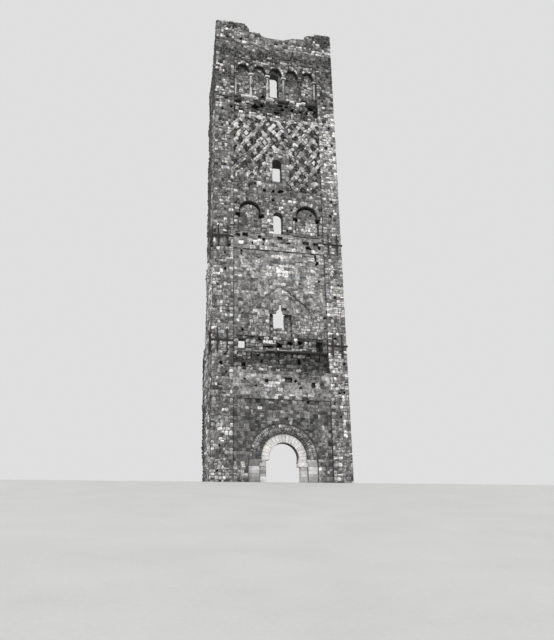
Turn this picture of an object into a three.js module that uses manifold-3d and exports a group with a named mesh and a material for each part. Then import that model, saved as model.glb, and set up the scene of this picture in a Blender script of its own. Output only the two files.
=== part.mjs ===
// Ruined square minaret of rubble stone, 10 m wide and 38.6 m high.
// Its front wall stands whole, and its two side walls break off about 4 m behind it.
// Millimetres, +Z up, +Y into the tower, with the front corner faces at y = 0 before centring.
import * as THREE from 'three';
import Module from 'manifold-3d';
import { mergeVertices } from 'three/addons/utils/BufferGeometryUtils.js';

const wasm = await Module();
wasm.setup();

// Plan of the tower
const halfWidth = 5000;
const axis = 60;
const panelHalf = 3560;
const panelLeft = axis - panelHalf;
const panelRight = axis + panelHalf;
const panelRecess = 80;
const wallBack = 1400;
const cornerDepth = 1450;
const jointGap = 0.3;
const halfGap = jointGap / 2;
const cutMargin = 50;

// Levels of the storeys, from the ground up
const springLevel = 1700;
const alfizTop = 5860;
const corbelLevel = 7900;
const ledgeLevel = 9300;
const ledgeTop = 9430;
const balconyLevel = 10500;
const surroundTop = 12300;
const bandLevel = 17380;
const windowLevel = 18800;
const sebkaLevel = 21900;
const cavityLevel = 29500;
const sillLevel = 31100;
const arcadeLevel = 31260;
const crownLevel = 35000;
const leftCrown = 38520;
const rightCrown = 38600;

// Portal with its two arch orders
const outerRingZ = 1720;
const outerRingRadius = 2440;
const outerJambHalf = 2500;
const doorArchX = 140;
const doorArchZ = 1817;
const doorArchRadius = 1040;
const doorRingZ = 1840;
const doorRingRadius = 1630;
const brokenFootX = -1150;
const brokenFootTop = 1690;
const doorwayX = 100;
const doorHalf = 1250;
const doorJambHalf = 1740;
const leftImposteHalf = 1250;
const rightImposteHalf = 1030;
const imposteLevel = 1200;
const imposteTop = 1500;
const outerOrderY = 210;
const doorOrderY = 310;
const imposteY = 270;
const passageY = 860;
const passageHalf = 1450;
const passageRadius = 1300;
const ringSteps = 24;

// Broken band under the ledge
const socketDepth = 320;
const corbelBandY = 300;
const corbelCount = 7;
const corbelHalf = 150;
const corbelRootY = 420;
const ledgeFrontY = -240;
const ledgeEdgeY = 20;

// Balcony doorway and the two small windows beside it
const rubbleBandY = 150;
const leftSmallWindow = { left: -3110, right: -2530, sill: 9550, top: 10230 };
const rightSmallWindow = { left: 2690, right: 3240, sill: 9480, top: 10300 };
const smallEmbrasureRight = -2300;
const smallEmbrasureTop = 10620;
const smallSkinY = 680;
const surroundHalf = 860;
const surroundY = 350;
const balconyDoorLeft = -470;
const balconyDoorRight = 400;
const balconyDoorSill = 11280;
const balconyDoorPeak = 13080;
const doorEmbrasureLeft = -530;
const doorEmbrasureRight = 700;
const doorEmbrasureTop = 13600;
const doorSkinY = 600;
const headSkinY = 260;
const slotDepth = 500;

// Cusped relief arch over the balcony doorway
const lobedCrown = 14400;
const lobeDepth = 110;
const lobedWidth = 130;
const lobedRelief = 60;

// Windows: a narrow slit in front and a wider embrasure behind it
const slitHalf = 390;
const slitX = 10;
const slitDepth = 620;
const embrasureHalf = 620;
const firstWindowTop = 20730;
const secondWindowSill = 23460;
const secondWindowTop = 25470;
const thirdWindowSill = 31730;
const thirdWindowTop = 34080;

// Blind arches beside the first window
const nicheOffset = 2270;
const nicheHalf = 950;
const nicheArchRadius = 860;
const nicheArchZ = 20640;
const nicheFoot = 18960;
const nicheBackY = 700;
const nichePanelY = 220;
const nichePanelHalf = 910;
const nichePanelWaist = 700;
const nichePanelRadius = 780;
const nichePanelZ = 20460;
const socketHalf = 1140;
const socketLevel = 20090;
const socketTop = 20450;

// Lozenge lattice of the tall panel
const latticeBays = 7;
const latticeBay = (2 * panelHalf) / latticeBays;
const latticeRise = 1400;
const latticeFoot = 24150;
const latticeTop = 29250;
const latticeRib = 220;
const latticeEdge = 20;
const pilasterFoot = 22150;
const clearHalf = 960;
const clearTop = 26250;

// Arcade under the crown
const arcadeBackY = 450;
const arcadeBays = 5;
const colonnetteSpan = 1390;
const colonnetteY = 240;
const colonnetteRadius = 85;
const capitalLevel = 33350;
const capitalTop = 33600;
const arcadeCrown = 34420;
const arcadeMargin = 150;
const arcadeLobe = 0.07;
const cavityY = 260;
const lumpFoot = 520;
const sillFrontY = -60;

// Iron ties at the corners
const strapHeight = 90;
const strapThick = 25;
const strapReach = 1480;
const barWidth = 60;
const barHeight = 1760;
const barProud = 10;
const barOffsets = [350, 1050];
const tieLevels = { lower: 10030, upper: 18270 };

const minaret = new THREE.Group();

// Looks of the pieces
function stone(shade) {
  const material = new THREE.MeshStandardMaterial({ roughness: 0.95, metalness: 0 });
  material.color.setScalar(shade);
  return material;
}

const rubbleStone = () => stone(0.36);
const dressedStone = () => stone(0.3);
const paleStone = () => stone(0.55);

function iron() {
  return new THREE.MeshStandardMaterial({ color: 0x2b2a29, roughness: 0.7, metalness: 0.6 });
}

function add(name, geometry, material) {
  const mesh = new THREE.Mesh(geometry, material);
  mesh.name = name;
  minaret.add(mesh);
  return mesh;
}

// Solids and their joins
function toSolid(geometry) {
  const bare = geometry.clone();
  bare.deleteAttribute('normal');
  bare.deleteAttribute('uv');
  const merged = mergeVertices(bare, 0.01);
  return new wasm.Manifold(new wasm.Mesh({
    numProp: 3,
    vertProperties: new Float32Array(merged.attributes.position.array),
    triVerts: new Uint32Array(merged.index.array),
  }));
}

function toGeometry(solid) {
  const mesh = solid.getMesh();
  const geometry = new THREE.BufferGeometry();
  const positions = new Float32Array(mesh.numVert * 3);
  for (let i = 0; i < mesh.numVert; i += 1) {
    for (let k = 0; k < 3; k += 1) {
      positions[3 * i + k] = mesh.vertProperties[mesh.numProp * i + k];
    }
  }
  geometry.setAttribute('position', new THREE.BufferAttribute(positions, 3));
  geometry.setIndex(new THREE.BufferAttribute(new Uint32Array(mesh.triVerts), 1));
  geometry.computeVertexNormals();
  return geometry;
}

function cut(geometry, cutters) {
  let solid = toSolid(geometry);
  for (const cutter of cutters) {
    solid = solid.subtract(toSolid(cutter));
  }
  return toGeometry(solid);
}

function join(geometries) {
  let solid = toSolid(geometries[0]);
  for (const geometry of geometries.slice(1)) {
    solid = solid.add(toSolid(geometry));
  }
  return toGeometry(solid);
}

// A box between two corners, for cutting and joining
function box(x0, x1, y0, y1, z0, z1) {
  const geometry = new THREE.BoxGeometry(x1 - x0, y1 - y0, z1 - z0);
  geometry.translate((x0 + x1) / 2, (y0 + y1) / 2, (z0 + z1) / 2);
  return geometry;
}

// A box that stops half a joint short of its stated faces in x and z
function slab(x0, x1, y0, y1, z0, z1) {
  return box(x0 + halfGap, x1 - halfGap, y0, y1, Math.max(z0 + halfGap, 0), z1 - halfGap);
}

function shapeOf(points) {
  return new THREE.Shape(points.map(([u, v]) => new THREE.Vector2(u, v)));
}

// An outline in x and z, carried from y0 to y1
function facePlate(shape, y0, y1) {
  const geometry = new THREE.ExtrudeGeometry(shape, { depth: y1 - y0, bevelEnabled: false });
  geometry.rotateX(Math.PI / 2);
  geometry.translate(0, y1, 0);
  return geometry;
}

// An outline in y and z, carried from x0 to x1
function sidePlate(points, x0, x1) {
  const geometry = new THREE.ExtrudeGeometry(shapeOf(points), { depth: x1 - x0, bevelEnabled: false });
  const turn = new THREE.Matrix4().makeBasis(
    new THREE.Vector3(0, 1, 0),
    new THREE.Vector3(0, 0, 1),
    new THREE.Vector3(1, 0, 0),
  );
  geometry.applyMatrix4(turn);
  geometry.translate(x0, 0, 0);
  return geometry;
}

// An outline in x and y, carried from z0 to z1
function floorPlate(points, z0, z1) {
  const geometry = new THREE.ExtrudeGeometry(shapeOf(points), { depth: z1 - z0, bevelEnabled: false });
  geometry.translate(0, 0, z0);
  return geometry;
}

// Points of an arc in degrees, anticlockwise when the end is above the start
function arc(cx, cz, radius, startDegrees, endDegrees, steps) {
  const points = [];
  for (let i = 0; i <= steps; i += 1) {
    const angle = THREE.MathUtils.degToRad(startDegrees + ((endDegrees - startDegrees) * i) / steps);
    points.push([cx + radius * Math.cos(angle), cz + radius * Math.sin(angle)]);
  }
  return points;
}

// Outline of a stilted round-headed opening
function roundHead(cx, half, foot, top, steps) {
  const spring = top - half;
  return [[cx - half, foot], [cx + half, foot], ...arc(cx, spring, half, 0, 180, steps)];
}

// The slit of a window and the wider embrasure behind it
function windowCutters(sill, top, frontY, embrasureTop) {
  const outline = shapeOf(roundHead(slitX, slitHalf, sill, top, 10));
  const slit = facePlate(outline, frontY - cutMargin, wallBack + cutMargin);
  const embrasure = box(
    slitX - embrasureHalf,
    slitX + embrasureHalf,
    frontY + slitDepth,
    wallBack + cutMargin,
    sill,
    embrasureTop,
  );
  return [slit, embrasure];
}

// The two jambs, each with its impost, and the passage that widens behind them
function addJambs() {
  const behind = wallBack + cutMargin;
  const passage = box(doorwayX - passageHalf, doorwayX + passageHalf, passageY, behind, -cutMargin, imposteTop);
  for (const [side, sign, imposteHalf] of [['left', -1, leftImposteHalf], ['right', 1, rightImposteHalf]]) {
    const pair = (a, b) => [Math.min(sign * a, sign * b), Math.max(sign * a, sign * b)];
    const around = (centre, a, b) => pair(a, b).map((x) => x + centre);
    const wall = slab(...around(axis, outerJambHalf, panelHalf), panelRecess, wallBack, 0, springLevel);
    add(`portal_wall_${side}`, wall, dressedStone());
    const ringFoot = doorArchX + sign * (doorRingRadius + halfGap);
    const edge = axis + sign * (outerJambHalf - halfGap);
    const foot = doorwayX + sign * (doorJambHalf + halfGap);
    const outerJamb = shapeOf([
      [foot, 0],
      [edge, 0],
      [edge, springLevel - halfGap],
      [ringFoot, springLevel - halfGap],
      [ringFoot, imposteTop + halfGap],
      [foot, imposteTop + halfGap],
    ]);
    add(`outer_jamb_${side}`, facePlate(outerJamb, outerOrderY, wallBack), paleStone());
    const jambSpan = around(doorwayX, doorHalf, doorJambHalf);
    const doorJamb = slab(...jambSpan, doorOrderY, wallBack, 0, imposteLevel);
    add(`door_jamb_${side}`, cut(doorJamb, [passage]), paleStone());
    const imposteSpan = around(doorwayX, imposteHalf, doorJambHalf);
    const imposte = slab(...imposteSpan, imposteY, wallBack, imposteLevel, imposteTop);
    add(`door_impost_${side}`, cut(imposte, [passage]), paleStone());
  }
}

// The two rings of the portal, of which the inner one is broken at its left foot
function addPortalArches() {
  const sinkTo = (z) => THREE.MathUtils.radToDeg(Math.asin((doorArchZ - z) / doorArchRadius));
  const doorRing = doorRingRadius - halfGap;
  const doorFoot = imposteTop + halfGap;
  const doorArch = shapeOf([
    [doorArchX + doorRing, doorFoot],
    ...arc(doorArchX, doorRingZ, doorRing, 0, 180, ringSteps),
    [doorArchX - doorRing, doorFoot],
    [brokenFootX, doorFoot],
    [brokenFootX - 40, doorFoot + 110],
    ...arc(doorArchX, doorArchZ, doorArchRadius, 180 + sinkTo(brokenFootTop), -sinkTo(doorFoot), ringSteps + 4),
  ]);
  const passageHead = facePlate(
    shapeOf(arc(doorArchX, doorArchZ, passageRadius, 0, 360 - 360 / ringSteps, ringSteps - 1)),
    passageY,
    wallBack + cutMargin,
  );
  add('door_arch', cut(facePlate(doorArch, doorOrderY, wallBack), [passageHead]), paleStone());

  const springFoot = springLevel + halfGap;
  const ringOutside = outerRingRadius - halfGap;
  const ringInside = doorRingRadius + halfGap;
  const outerArch = shapeOf([
    [doorArchX + ringInside, springFoot],
    [axis + ringOutside, springFoot],
    ...arc(axis, outerRingZ, ringOutside, 0, 180, ringSteps),
    [axis - ringOutside, springFoot],
    [doorArchX - ringInside, springFoot],
    ...arc(doorArchX, doorRingZ, ringInside, 180, 0, ringSteps),
  ]);
  add('outer_arch', facePlate(outerArch, outerOrderY, wallBack), dressedStone());

  const hole = outerRingRadius + halfGap;
  const spandrel = shapeOf([
    [axis + hole, springFoot],
    [panelRight - halfGap, springFoot],
    [panelRight - halfGap, alfizTop - halfGap],
    [panelLeft + halfGap, alfizTop - halfGap],
    [panelLeft + halfGap, springFoot],
    [axis - hole, springFoot],
    ...arc(axis, outerRingZ, hole, 180, 0, ringSteps),
  ]);
  add('portal_spandrel', facePlate(spandrel, panelRecess, wallBack), dressedStone());
}

// A hole in the front where stones are missing, round a middle at (x, z)
function socket(x, z, width, height) {
  return box(x - width / 2, x + width / 2, -cutMargin, socketDepth, z - height / 2, z + height / 2);
}

function addWallAbovePortal() {
  const plain = slab(panelLeft, panelRight, 0, wallBack, alfizTop, corbelLevel);
  const sockets = [socket(520, 7280, 560, 380), socket(-1080, 7160, 260, 240), socket(2360, 6960, 300, 420)];
  add('wall_above_portal', cut(plain, sockets), rubbleStone());

  const corbelStep = (2 * panelHalf) / corbelCount;
  const pieces = [slab(panelLeft, panelRight, corbelBandY, wallBack, corbelLevel, ledgeLevel)];
  for (let i = 0; i < corbelCount; i += 1) {
    const x = panelLeft + corbelStep * (i + 0.5);
    const front = 90 + 80 * (i % 3);
    const head = ledgeLevel - 20;
    pieces.push(sidePlate([
      [corbelRootY, corbelLevel + 420],
      [corbelRootY, head],
      [front, head],
      [front, head - 240],
      [front + 90, head - 440],
    ], x - corbelHalf, x + corbelHalf));
  }
  add('corbel_zone', join(pieces), rubbleStone());
}

function addBalconyStorey() {
  const leftEnd = panelLeft + halfGap;
  const rightEnd = panelRight - halfGap;
  const brokenLeft = -2650;
  const wholeLeft = -1250;
  const brokenRight = 3360;
  const ledge = floorPlate([
    [leftEnd, wallBack],
    [leftEnd, rubbleBandY],
    [brokenLeft, rubbleBandY],
    [brokenLeft, ledgeEdgeY],
    [wholeLeft - 50, ledgeEdgeY],
    [wholeLeft, ledgeFrontY + 60],
    [-400, ledgeFrontY],
    [1500, ledgeFrontY + 30],
    [2900, ledgeFrontY],
    [brokenRight, ledgeFrontY + 80],
    [brokenRight, rubbleBandY],
    [rightEnd, rubbleBandY],
    [rightEnd, wallBack],
  ], ledgeLevel + halfGap, ledgeTop - halfGap);
  add('balcony_ledge', ledge, paleStone());

  const band = slab(panelLeft, panelRight, rubbleBandY, wallBack, ledgeTop, balconyLevel);
  const smallWindows = [leftSmallWindow, rightSmallWindow].map((hole) => box(
    hole.left,
    hole.right,
    0,
    wallBack + cutMargin,
    hole.sill,
    hole.top,
  ));
  const windowEmbrasure = box(
    leftSmallWindow.left,
    smallEmbrasureRight,
    smallSkinY,
    wallBack + cutMargin,
    ledgeTop - cutMargin,
    smallEmbrasureTop,
  );
  add('small_window_wall', cut(band, [...smallWindows, windowEmbrasure]), rubbleStone());

  const innerLeft = axis - surroundHalf;
  const innerRight = axis + surroundHalf;
  const left = slab(panelLeft, innerLeft, panelRecess, wallBack, balconyLevel, surroundTop);
  add('balcony_wall_left', cut(left, [windowEmbrasure]), rubbleStone());
  const right = slab(innerRight, panelRight, panelRecess, wallBack, balconyLevel, surroundTop);
  add('balcony_wall_right', right, rubbleStone());

  const surround = shapeOf([
    [innerLeft + halfGap, balconyLevel + halfGap],
    [innerRight - halfGap, balconyLevel + halfGap],
    [innerRight - halfGap, surroundTop - halfGap],
    [balconyDoorRight, surroundTop - halfGap],
    [balconyDoorRight, balconyDoorSill],
    [balconyDoorLeft, balconyDoorSill],
    [balconyDoorLeft, surroundTop - halfGap],
    [innerLeft + halfGap, surroundTop - halfGap],
  ]);
  const doorEmbrasure = (frontY) => box(
    doorEmbrasureLeft,
    doorEmbrasureRight,
    frontY,
    wallBack + cutMargin,
    balconyDoorSill,
    doorEmbrasureTop,
  );
  const surroundPlate = facePlate(surround, surroundY, wallBack);
  add('balcony_door_surround', cut(surroundPlate, [doorEmbrasure(doorSkinY)]), rubbleStone());

  const over = shapeOf([
    [leftEnd, surroundTop + halfGap],
    [balconyDoorLeft, surroundTop + halfGap],
    [balconyDoorLeft, surroundTop + 30],
    [-280, surroundTop + 40],
    [-220, surroundTop + 240],
    [-50, surroundTop + 400],
    [-40, balconyDoorPeak],
    [140, balconyDoorPeak],
    [140, surroundTop + 350],
    [225, surroundTop + 240],
    [240, surroundTop + 60],
    [330, surroundTop + halfGap],
    [rightEnd, surroundTop + halfGap],
    [rightEnd, bandLevel - halfGap],
    [leftEnd, bandLevel - halfGap],
  ]);
  const slots = [
    box(-2960, -2780, 0, slotDepth, 17080, 17300),
    box(2820, 3010, 0, slotDepth, 16780, 17300),
  ];
  const peephole = box(-2950, -2790, 0, wallBack + cutMargin, 16860, 17010);
  const overCutters = [...slots, peephole, doorEmbrasure(headSkinY)];
  add('balcony_wall_over', cut(facePlate(over, panelRecess, wallBack), overCutters), rubbleStone());
}

// The cusped relief arch over the balcony doorway
function addLobedArch() {
  const path = [[0, lobedCrown], [1900, 12850], [2290, 12250], [2310, 11400]];
  const lobesOnStretch = [5, 1.6, 2];
  const stretches = path.slice(1).map((end, i) => ({ start: path[i], end, lobes: lobesOnStretch[i] }));
  const outside = [];
  const inside = [];
  for (const { start, end, lobes } of stretches) {
    const length = Math.hypot(end[0] - start[0], end[1] - start[1]);
    const along = [(end[0] - start[0]) / length, (end[1] - start[1]) / length];
    const outward = [-along[1], along[0]];
    const steps = Math.round(lobes * 5);
    for (let i = 0; i < steps; i += 1) {
      const t = i / steps;
      const bulge = lobeDepth * Math.abs(Math.sin(Math.PI * lobes * t));
      const at = (offset) => [0, 1].map((k) => start[k] + (end[k] - start[k]) * t + outward[k] * offset);
      outside.push(at(bulge + lobedWidth));
      inside.push(at(bulge));
    }
  }
  outside[0] = [0, lobedCrown + lobedWidth * Math.SQRT2];
  inside[0] = [0, lobedCrown];
  const [footX, footZ] = path[path.length - 1];
  outside.push([footX + lobedWidth, footZ]);
  inside.push([footX, footZ]);
  const mirror = ([x, z]) => [-x, z];
  const shift = ([x, z]) => [x + axis, z];
  const outline = [
    ...outside.slice(1).reverse(),
    ...outside.map(mirror),
    ...inside.slice(1).reverse().map(mirror),
    ...inside,
  ].map(shift);
  const rib = facePlate(shapeOf(outline), panelRecess - lobedRelief, panelRecess - jointGap);
  add('lobed_arch', rib, dressedStone());
}

function addStringBand() {
  const plain = slab(panelLeft, panelRight, 0, wallBack, bandLevel, windowLevel);
  const sockets = [
    socket(-3150, 18450, 340, 300),
    socket(-2600, 18520, 440, 360),
    socket(-1500, 18440, 260, 240),
    socket(-1150, 18260, 220, 240),
    socket(120, 18450, 420, 300),
    socket(760, 18080, 360, 160),
    socket(2150, 18200, 520, 300),
    socket(2950, 18180, 420, 280),
  ];
  add('string_band', cut(plain, sockets), rubbleStone());
}

function addWindowStorey() {
  const plain = slab(panelLeft, panelRight, panelRecess, wallBack, windowLevel, sebkaLevel);
  const cutters = windowCutters(windowLevel - cutMargin, firstWindowTop, panelRecess, firstWindowTop + 500);
  for (const [side, sign] of [['left', -1], ['right', 1]]) {
    const x = axis + sign * nicheOffset;
    const front = panelRecess - cutMargin;
    const jambTop = socketLevel + cutMargin;
    cutters.push(box(x - nicheHalf, x + nicheHalf, front, nicheBackY, nicheFoot, jambTop));
    cutters.push(box(x - socketHalf, x + socketHalf, front, nicheBackY, socketLevel, socketTop));
    const head = shapeOf(arc(x, nicheArchZ, nicheArchRadius, -25, 205, 18));
    cutters.push(facePlate(head, front, nicheBackY));
    const panel = facePlate(
      shapeOf([
        [x - nichePanelHalf, nicheFoot + jointGap],
        [x + nichePanelHalf, nicheFoot + jointGap],
        [x + nichePanelHalf, socketLevel],
        [x + nichePanelWaist, socketLevel],
        [x + nichePanelWaist, nichePanelZ],
        ...arc(x, nichePanelZ, nichePanelRadius, 0, 180, 16),
        [x - nichePanelWaist, nichePanelZ],
        [x - nichePanelWaist, socketLevel],
        [x - nichePanelHalf, socketLevel],
      ]),
      nichePanelY,
      nicheBackY - jointGap,
    );
    add(`niche_panel_${side}`, panel, paleStone());
  }
  add('window_wall', cut(plain, cutters), rubbleStone());
}

function addSebkaStorey() {
  const bayLeft = axis - clearHalf;
  const bayRight = axis + clearHalf;
  const left = slab(panelLeft, bayLeft, panelRecess, wallBack, sebkaLevel, cavityLevel);
  add('sebka_wall_left', left, rubbleStone());
  const right = slab(bayRight, panelRight, panelRecess, wallBack, sebkaLevel, cavityLevel);
  add('sebka_wall_right', right, rubbleStone());
  const middle = slab(bayLeft, bayRight, panelRecess, wallBack, sebkaLevel, cavityLevel);
  const window = windowCutters(secondWindowSill, secondWindowTop, panelRecess, secondWindowTop);
  add('sebka_window_wall', cut(middle, window), rubbleStone());
}

// One diagonal rib of the lattice, from its foot to its head
function latticeBar(x0, z0, x1, z1) {
  const length = Math.hypot(x1 - x0, z1 - z0);
  const across = [(-(z1 - z0) / length) * (latticeRib / 2), ((x1 - x0) / length) * (latticeRib / 2)];
  const outline = [
    [x0 + across[0], z0 + across[1]],
    [x0 - across[0], z0 - across[1]],
    [x1 - across[0], z1 - across[1]],
    [x1 + across[0], z1 + across[1]],
  ];
  return facePlate(shapeOf(outline), 0, panelRecess - jointGap);
}

function addLattice() {
  const bars = [];
  const rise = latticeTop - latticeFoot;
  const slope = latticeRise / latticeBay;
  const run = rise / slope;
  for (let i = -latticeBays; i <= 2 * latticeBays; i += 1) {
    const x = panelLeft + latticeBay * i;
    bars.push(latticeBar(x, latticeFoot, x + run, latticeTop));
    bars.push(latticeBar(x, latticeFoot, x - run, latticeTop));
  }
  const halfRib = latticeRib / 2;
  const backY = panelRecess - jointGap;
  const left = panelLeft + latticeEdge;
  const right = panelRight - latticeEdge;
  const head = latticeTop + halfRib;
  bars.push(box(left, right, 0, backY, latticeTop - halfRib, head));
  let solid = toSolid(join(bars));
  const outer = box(left, right, -cutMargin, panelRecess + cutMargin, latticeFoot, head);
  solid = solid.intersect(toSolid(outer));
  const [clearLeft, clearRight] = [axis - clearHalf, axis + clearHalf];
  const clear = box(clearLeft, clearRight, -cutMargin, wallBack, latticeFoot - cutMargin, clearTop);
  solid = solid.subtract(toSolid(clear));
  const lintelEnds = [clearLeft - latticeRib, clearRight + latticeRib];
  const lintel = box(...lintelEnds, 0, backY, clearTop - halfRib, clearTop + halfRib);
  solid = solid.add(toSolid(lintel));
  for (let i = 0; i <= latticeBays; i += 1) {
    const x = THREE.MathUtils.clamp(panelLeft + latticeBay * i, left + halfRib, right - halfRib);
    if (Math.abs(x - axis) > clearHalf) {
      const pilaster = box(x - halfRib, x + halfRib, 0, backY, pilasterFoot, latticeFoot + latticeRib);
      solid = solid.add(toSolid(pilaster));
    }
  }
  add('sebka_lattice', toGeometry(solid), paleStone());
}

function addArcadeStorey() {
  const leftEnd = panelLeft + halfGap;
  const rightEnd = panelRight - halfGap;
  const cavity = slab(panelLeft, panelRight, cavityY, wallBack, cavityLevel, sillLevel);
  const lumps = [
    [-3350, -2750, 60], [-2300, -1900, 150], [-700, -300, 90], [500, 1000, 180], [1300, 2100, 110], [2500, 3000, 60],
  ];
  const band = [cavity];
  for (const [x0, x1, front] of lumps) {
    band.push(box(x0, x1, front, cavityY + cutMargin, cavityLevel + halfGap, cavityLevel + lumpFoot + front));
  }
  add('cavity_band', join(band), rubbleStone());

  const proud = [[-2960, -1600], [-870, -240], [1100, 1620], [2200, 2620]];
  const sillOutline = [[leftEnd, wallBack], [leftEnd, panelRecess]];
  for (const [x0, x1] of proud) {
    sillOutline.push([x0, panelRecess], [x0, sillFrontY], [x1, sillFrontY], [x1, panelRecess]);
  }
  sillOutline.push([rightEnd, panelRecess], [rightEnd, wallBack]);
  add('arcade_sill', floorPlate(sillOutline, sillLevel + halfGap, arcadeLevel - halfGap), paleStone());

  const back = slab(panelLeft, panelRight, arcadeBackY, wallBack, arcadeLevel, crownLevel);
  const window = windowCutters(thirdWindowSill, thirdWindowTop, arcadeBackY, thirdWindowTop + 200);
  add('arcade_wall', cut(back, window), rubbleStone());

  const archHalf = colonnetteSpan / 2 - arcadeMargin;
  const plateFoot = capitalTop + halfGap;
  const plateHead = crownLevel - halfGap;
  const lobeSteps = 12;
  const plate = [[leftEnd, plateHead], [leftEnd, plateFoot]];
  for (let i = 0; i < arcadeBays; i += 1) {
    const x = axis + (i - (arcadeBays - 1) / 2) * colonnetteSpan;
    for (let k = 0; k <= lobeSteps; k += 1) {
      const angle = Math.PI * (1 - k / lobeSteps);
      const lobe = 1 + arcadeLobe * Math.cos(6 * angle);
      const rise = (arcadeCrown - capitalTop) * Math.sin(angle) * lobe;
      plate.push([x + archHalf * Math.cos(angle) * lobe, plateFoot + rise]);
    }
  }
  plate.push([rightEnd, plateFoot], [rightEnd, plateHead]);
  const pieces = [facePlate(shapeOf(plate), panelRecess, arcadeBackY - jointGap)];

  const baseRadius = colonnetteRadius * 1.5;
  const capitalRadius = colonnetteRadius * 1.9;
  const profile = [
    [0, arcadeLevel + halfGap],
    [baseRadius, arcadeLevel + halfGap],
    [baseRadius, arcadeLevel + 110],
    [colonnetteRadius, arcadeLevel + 180],
    [colonnetteRadius, capitalLevel],
    [capitalRadius, capitalTop - 110],
    [capitalRadius, capitalTop + 30],
    [0, capitalTop + 30],
  ];
  const reach = panelHalf - capitalRadius - 5;
  for (let i = 0; i <= arcadeBays; i += 1) {
    const x = THREE.MathUtils.clamp((i - arcadeBays / 2) * colonnetteSpan, -reach, reach);
    const points = profile.map(([r, z]) => new THREE.Vector2(r, z));
    const colonnette = new THREE.LatheGeometry(points, 10);
    colonnette.rotateX(Math.PI / 2);
    colonnette.translate(axis + x, colonnetteY, 0);
    pieces.push(colonnette);
  }
  add('blind_arcade', join(pieces), paleStone());
}

// The broken head of the front, from right to left, and the wall's rear, which thins towards the top
function addCrown() {
  const leftEnd = panelLeft + halfGap;
  const rightEnd = panelRight - halfGap;
  const outline = shapeOf([
    [leftEnd, crownLevel + halfGap],
    [rightEnd, crownLevel + halfGap],
    [rightEnd, 38620],
    [3560, 38400],
    [2850, 38280],
    [2720, 37850],
    [1620, 37760],
    [1180, 37580],
    [760, 37400],
    [-850, 37430],
    [-1330, 37700],
    [-2440, 37780],
    [-2320, 38270],
    [-2650, 38560],
    [leftEnd, 38560],
  ]);
  const behind = wallBack + cutMargin;
  const rear = [[500, 38900], [900, 37200], [1380, 35900], [behind, 35900], [behind, 38900]];
  const taper = sidePlate(rear, -halfWidth, halfWidth);
  add('crown_wall', cut(facePlate(outline, 0, wallBack), [taper]), rubbleStone());
}

// Broken rear edge of a side wall: depth behind the front face at each height
const brokenEdge = [
  [0, 5420], [340, 4960], [770, 4460], [1460, 4300], [2550, 4810], [4000, 4900], [5250, 4960], [7000, 4580],
  [8300, 4700], [9930, 4910], [10630, 4060], [12580, 4050], [14440, 3700], [15600, 4000], [16770, 4380],
  [17330, 3300], [18800, 3500], [20910, 4110], [21850, 3800], [24230, 4070], [26500, 4020], [27350, 3520],
  [28830, 3970], [29990, 3910], [30620, 3100], [32120, 3470], [33670, 3870], [34080, 2760], [34720, 1990],
  [35960, 1460], [37090, 930], [37970, 520], [38500, 360],
];

function edgeDepth(z) {
  for (let i = 1; i < brokenEdge.length; i += 1) {
    const [z0, y0] = brokenEdge[i - 1];
    const [z1, y1] = brokenEdge[i];
    if (z <= z1) {
      return y0 + ((y1 - y0) * (z - z0)) / (z1 - z0);
    }
  }
  return brokenEdge[brokenEdge.length - 1][1];
}

// One storey of a side wall, with its recessed panels on the outside
function sideWall(name, sign, bottom, top, panels) {
  const foot = Math.max(bottom + halfGap, 0);
  const head = top - halfGap;
  const rear = brokenEdge.filter(([z]) => z > foot + 1 && z < head - 1).map(([z, y]) => [y, z]);
  const outline = [[0, foot], [edgeDepth(foot), foot], ...rear, [edgeDepth(head), head], [0, head]];
  const inner = sign < 0 ? panelLeft : panelRight;
  const [x0, x1] = sign < 0 ? [-halfWidth, inner] : [inner, halfWidth];
  const plate = sidePlate(outline, x0, x1);
  const face = sign * (halfWidth - panelRecess);
  const reach = sign * (halfWidth + cutMargin);
  const [near, far] = [Math.min(face, reach), Math.max(face, reach)];
  const cutters = panels.map(([z0, z1]) => box(near, far, cornerDepth, 2 * halfWidth, z0, z1));
  const geometry = cutters.length > 0 ? cut(plate, cutters) : plate;
  add(name, geometry, rubbleStone());
}

function addSideWalls() {
  for (const [side, sign] of [['left', -1], ['right', 1]]) {
    const top = sign < 0 ? leftCrown : rightCrown;
    sideWall(`${side}_wall_foot`, sign, 0, ledgeTop, [[-cutMargin, alfizTop]]);
    sideWall(`${side}_wall_balcony`, sign, ledgeTop, windowLevel, [[balconyLevel, bandLevel]]);
    sideWall(`${side}_wall_sebka`, sign, windowLevel, sillLevel, [[windowLevel + 200, cavityLevel]]);
    sideWall(`${side}_wall_crown`, sign, sillLevel, top, []);
  }
}

// An iron strap round a corner, pinned by upright bars on both faces
function addTie(side, sign, level) {
  const z = tieLevels[level];
  const out = halfWidth + jointGap;
  const edge = out + strapThick;
  const front = -jointGap - strapThick;
  const span = (a, b) => [Math.min(sign * a, sign * b), Math.max(sign * a, sign * b)];
  const reach = halfWidth - strapReach;
  const pieces = [
    box(...span(reach, edge), front, -jointGap, z - strapHeight / 2, z + strapHeight / 2),
    box(...span(out, edge), front, cornerDepth - barWidth, z - strapHeight / 2, z + strapHeight / 2),
  ];
  for (const offset of barOffsets) {
    const x = halfWidth - offset;
    const low = z - barHeight / 2;
    const high = z + barHeight / 2;
    pieces.push(box(...span(x - barWidth / 2, x + barWidth / 2), front - barProud, -jointGap, low, high));
    pieces.push(box(...span(out, edge + barProud), offset - barWidth / 2, offset + barWidth / 2, low, high));
  }
  add(`iron_tie_${level}_${side}`, join(pieces), iron());
}

addJambs();
addPortalArches();
addWallAbovePortal();
addBalconyStorey();
addLobedArch();
addStringBand();
addWindowStorey();
addSebkaStorey();
addLattice();
addArcadeStorey();
addCrown();
addSideWalls();
for (const level of Object.keys(tieLevels)) {
  addTie('left', -1, level);
  addTie('right', 1, level);
}

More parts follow.
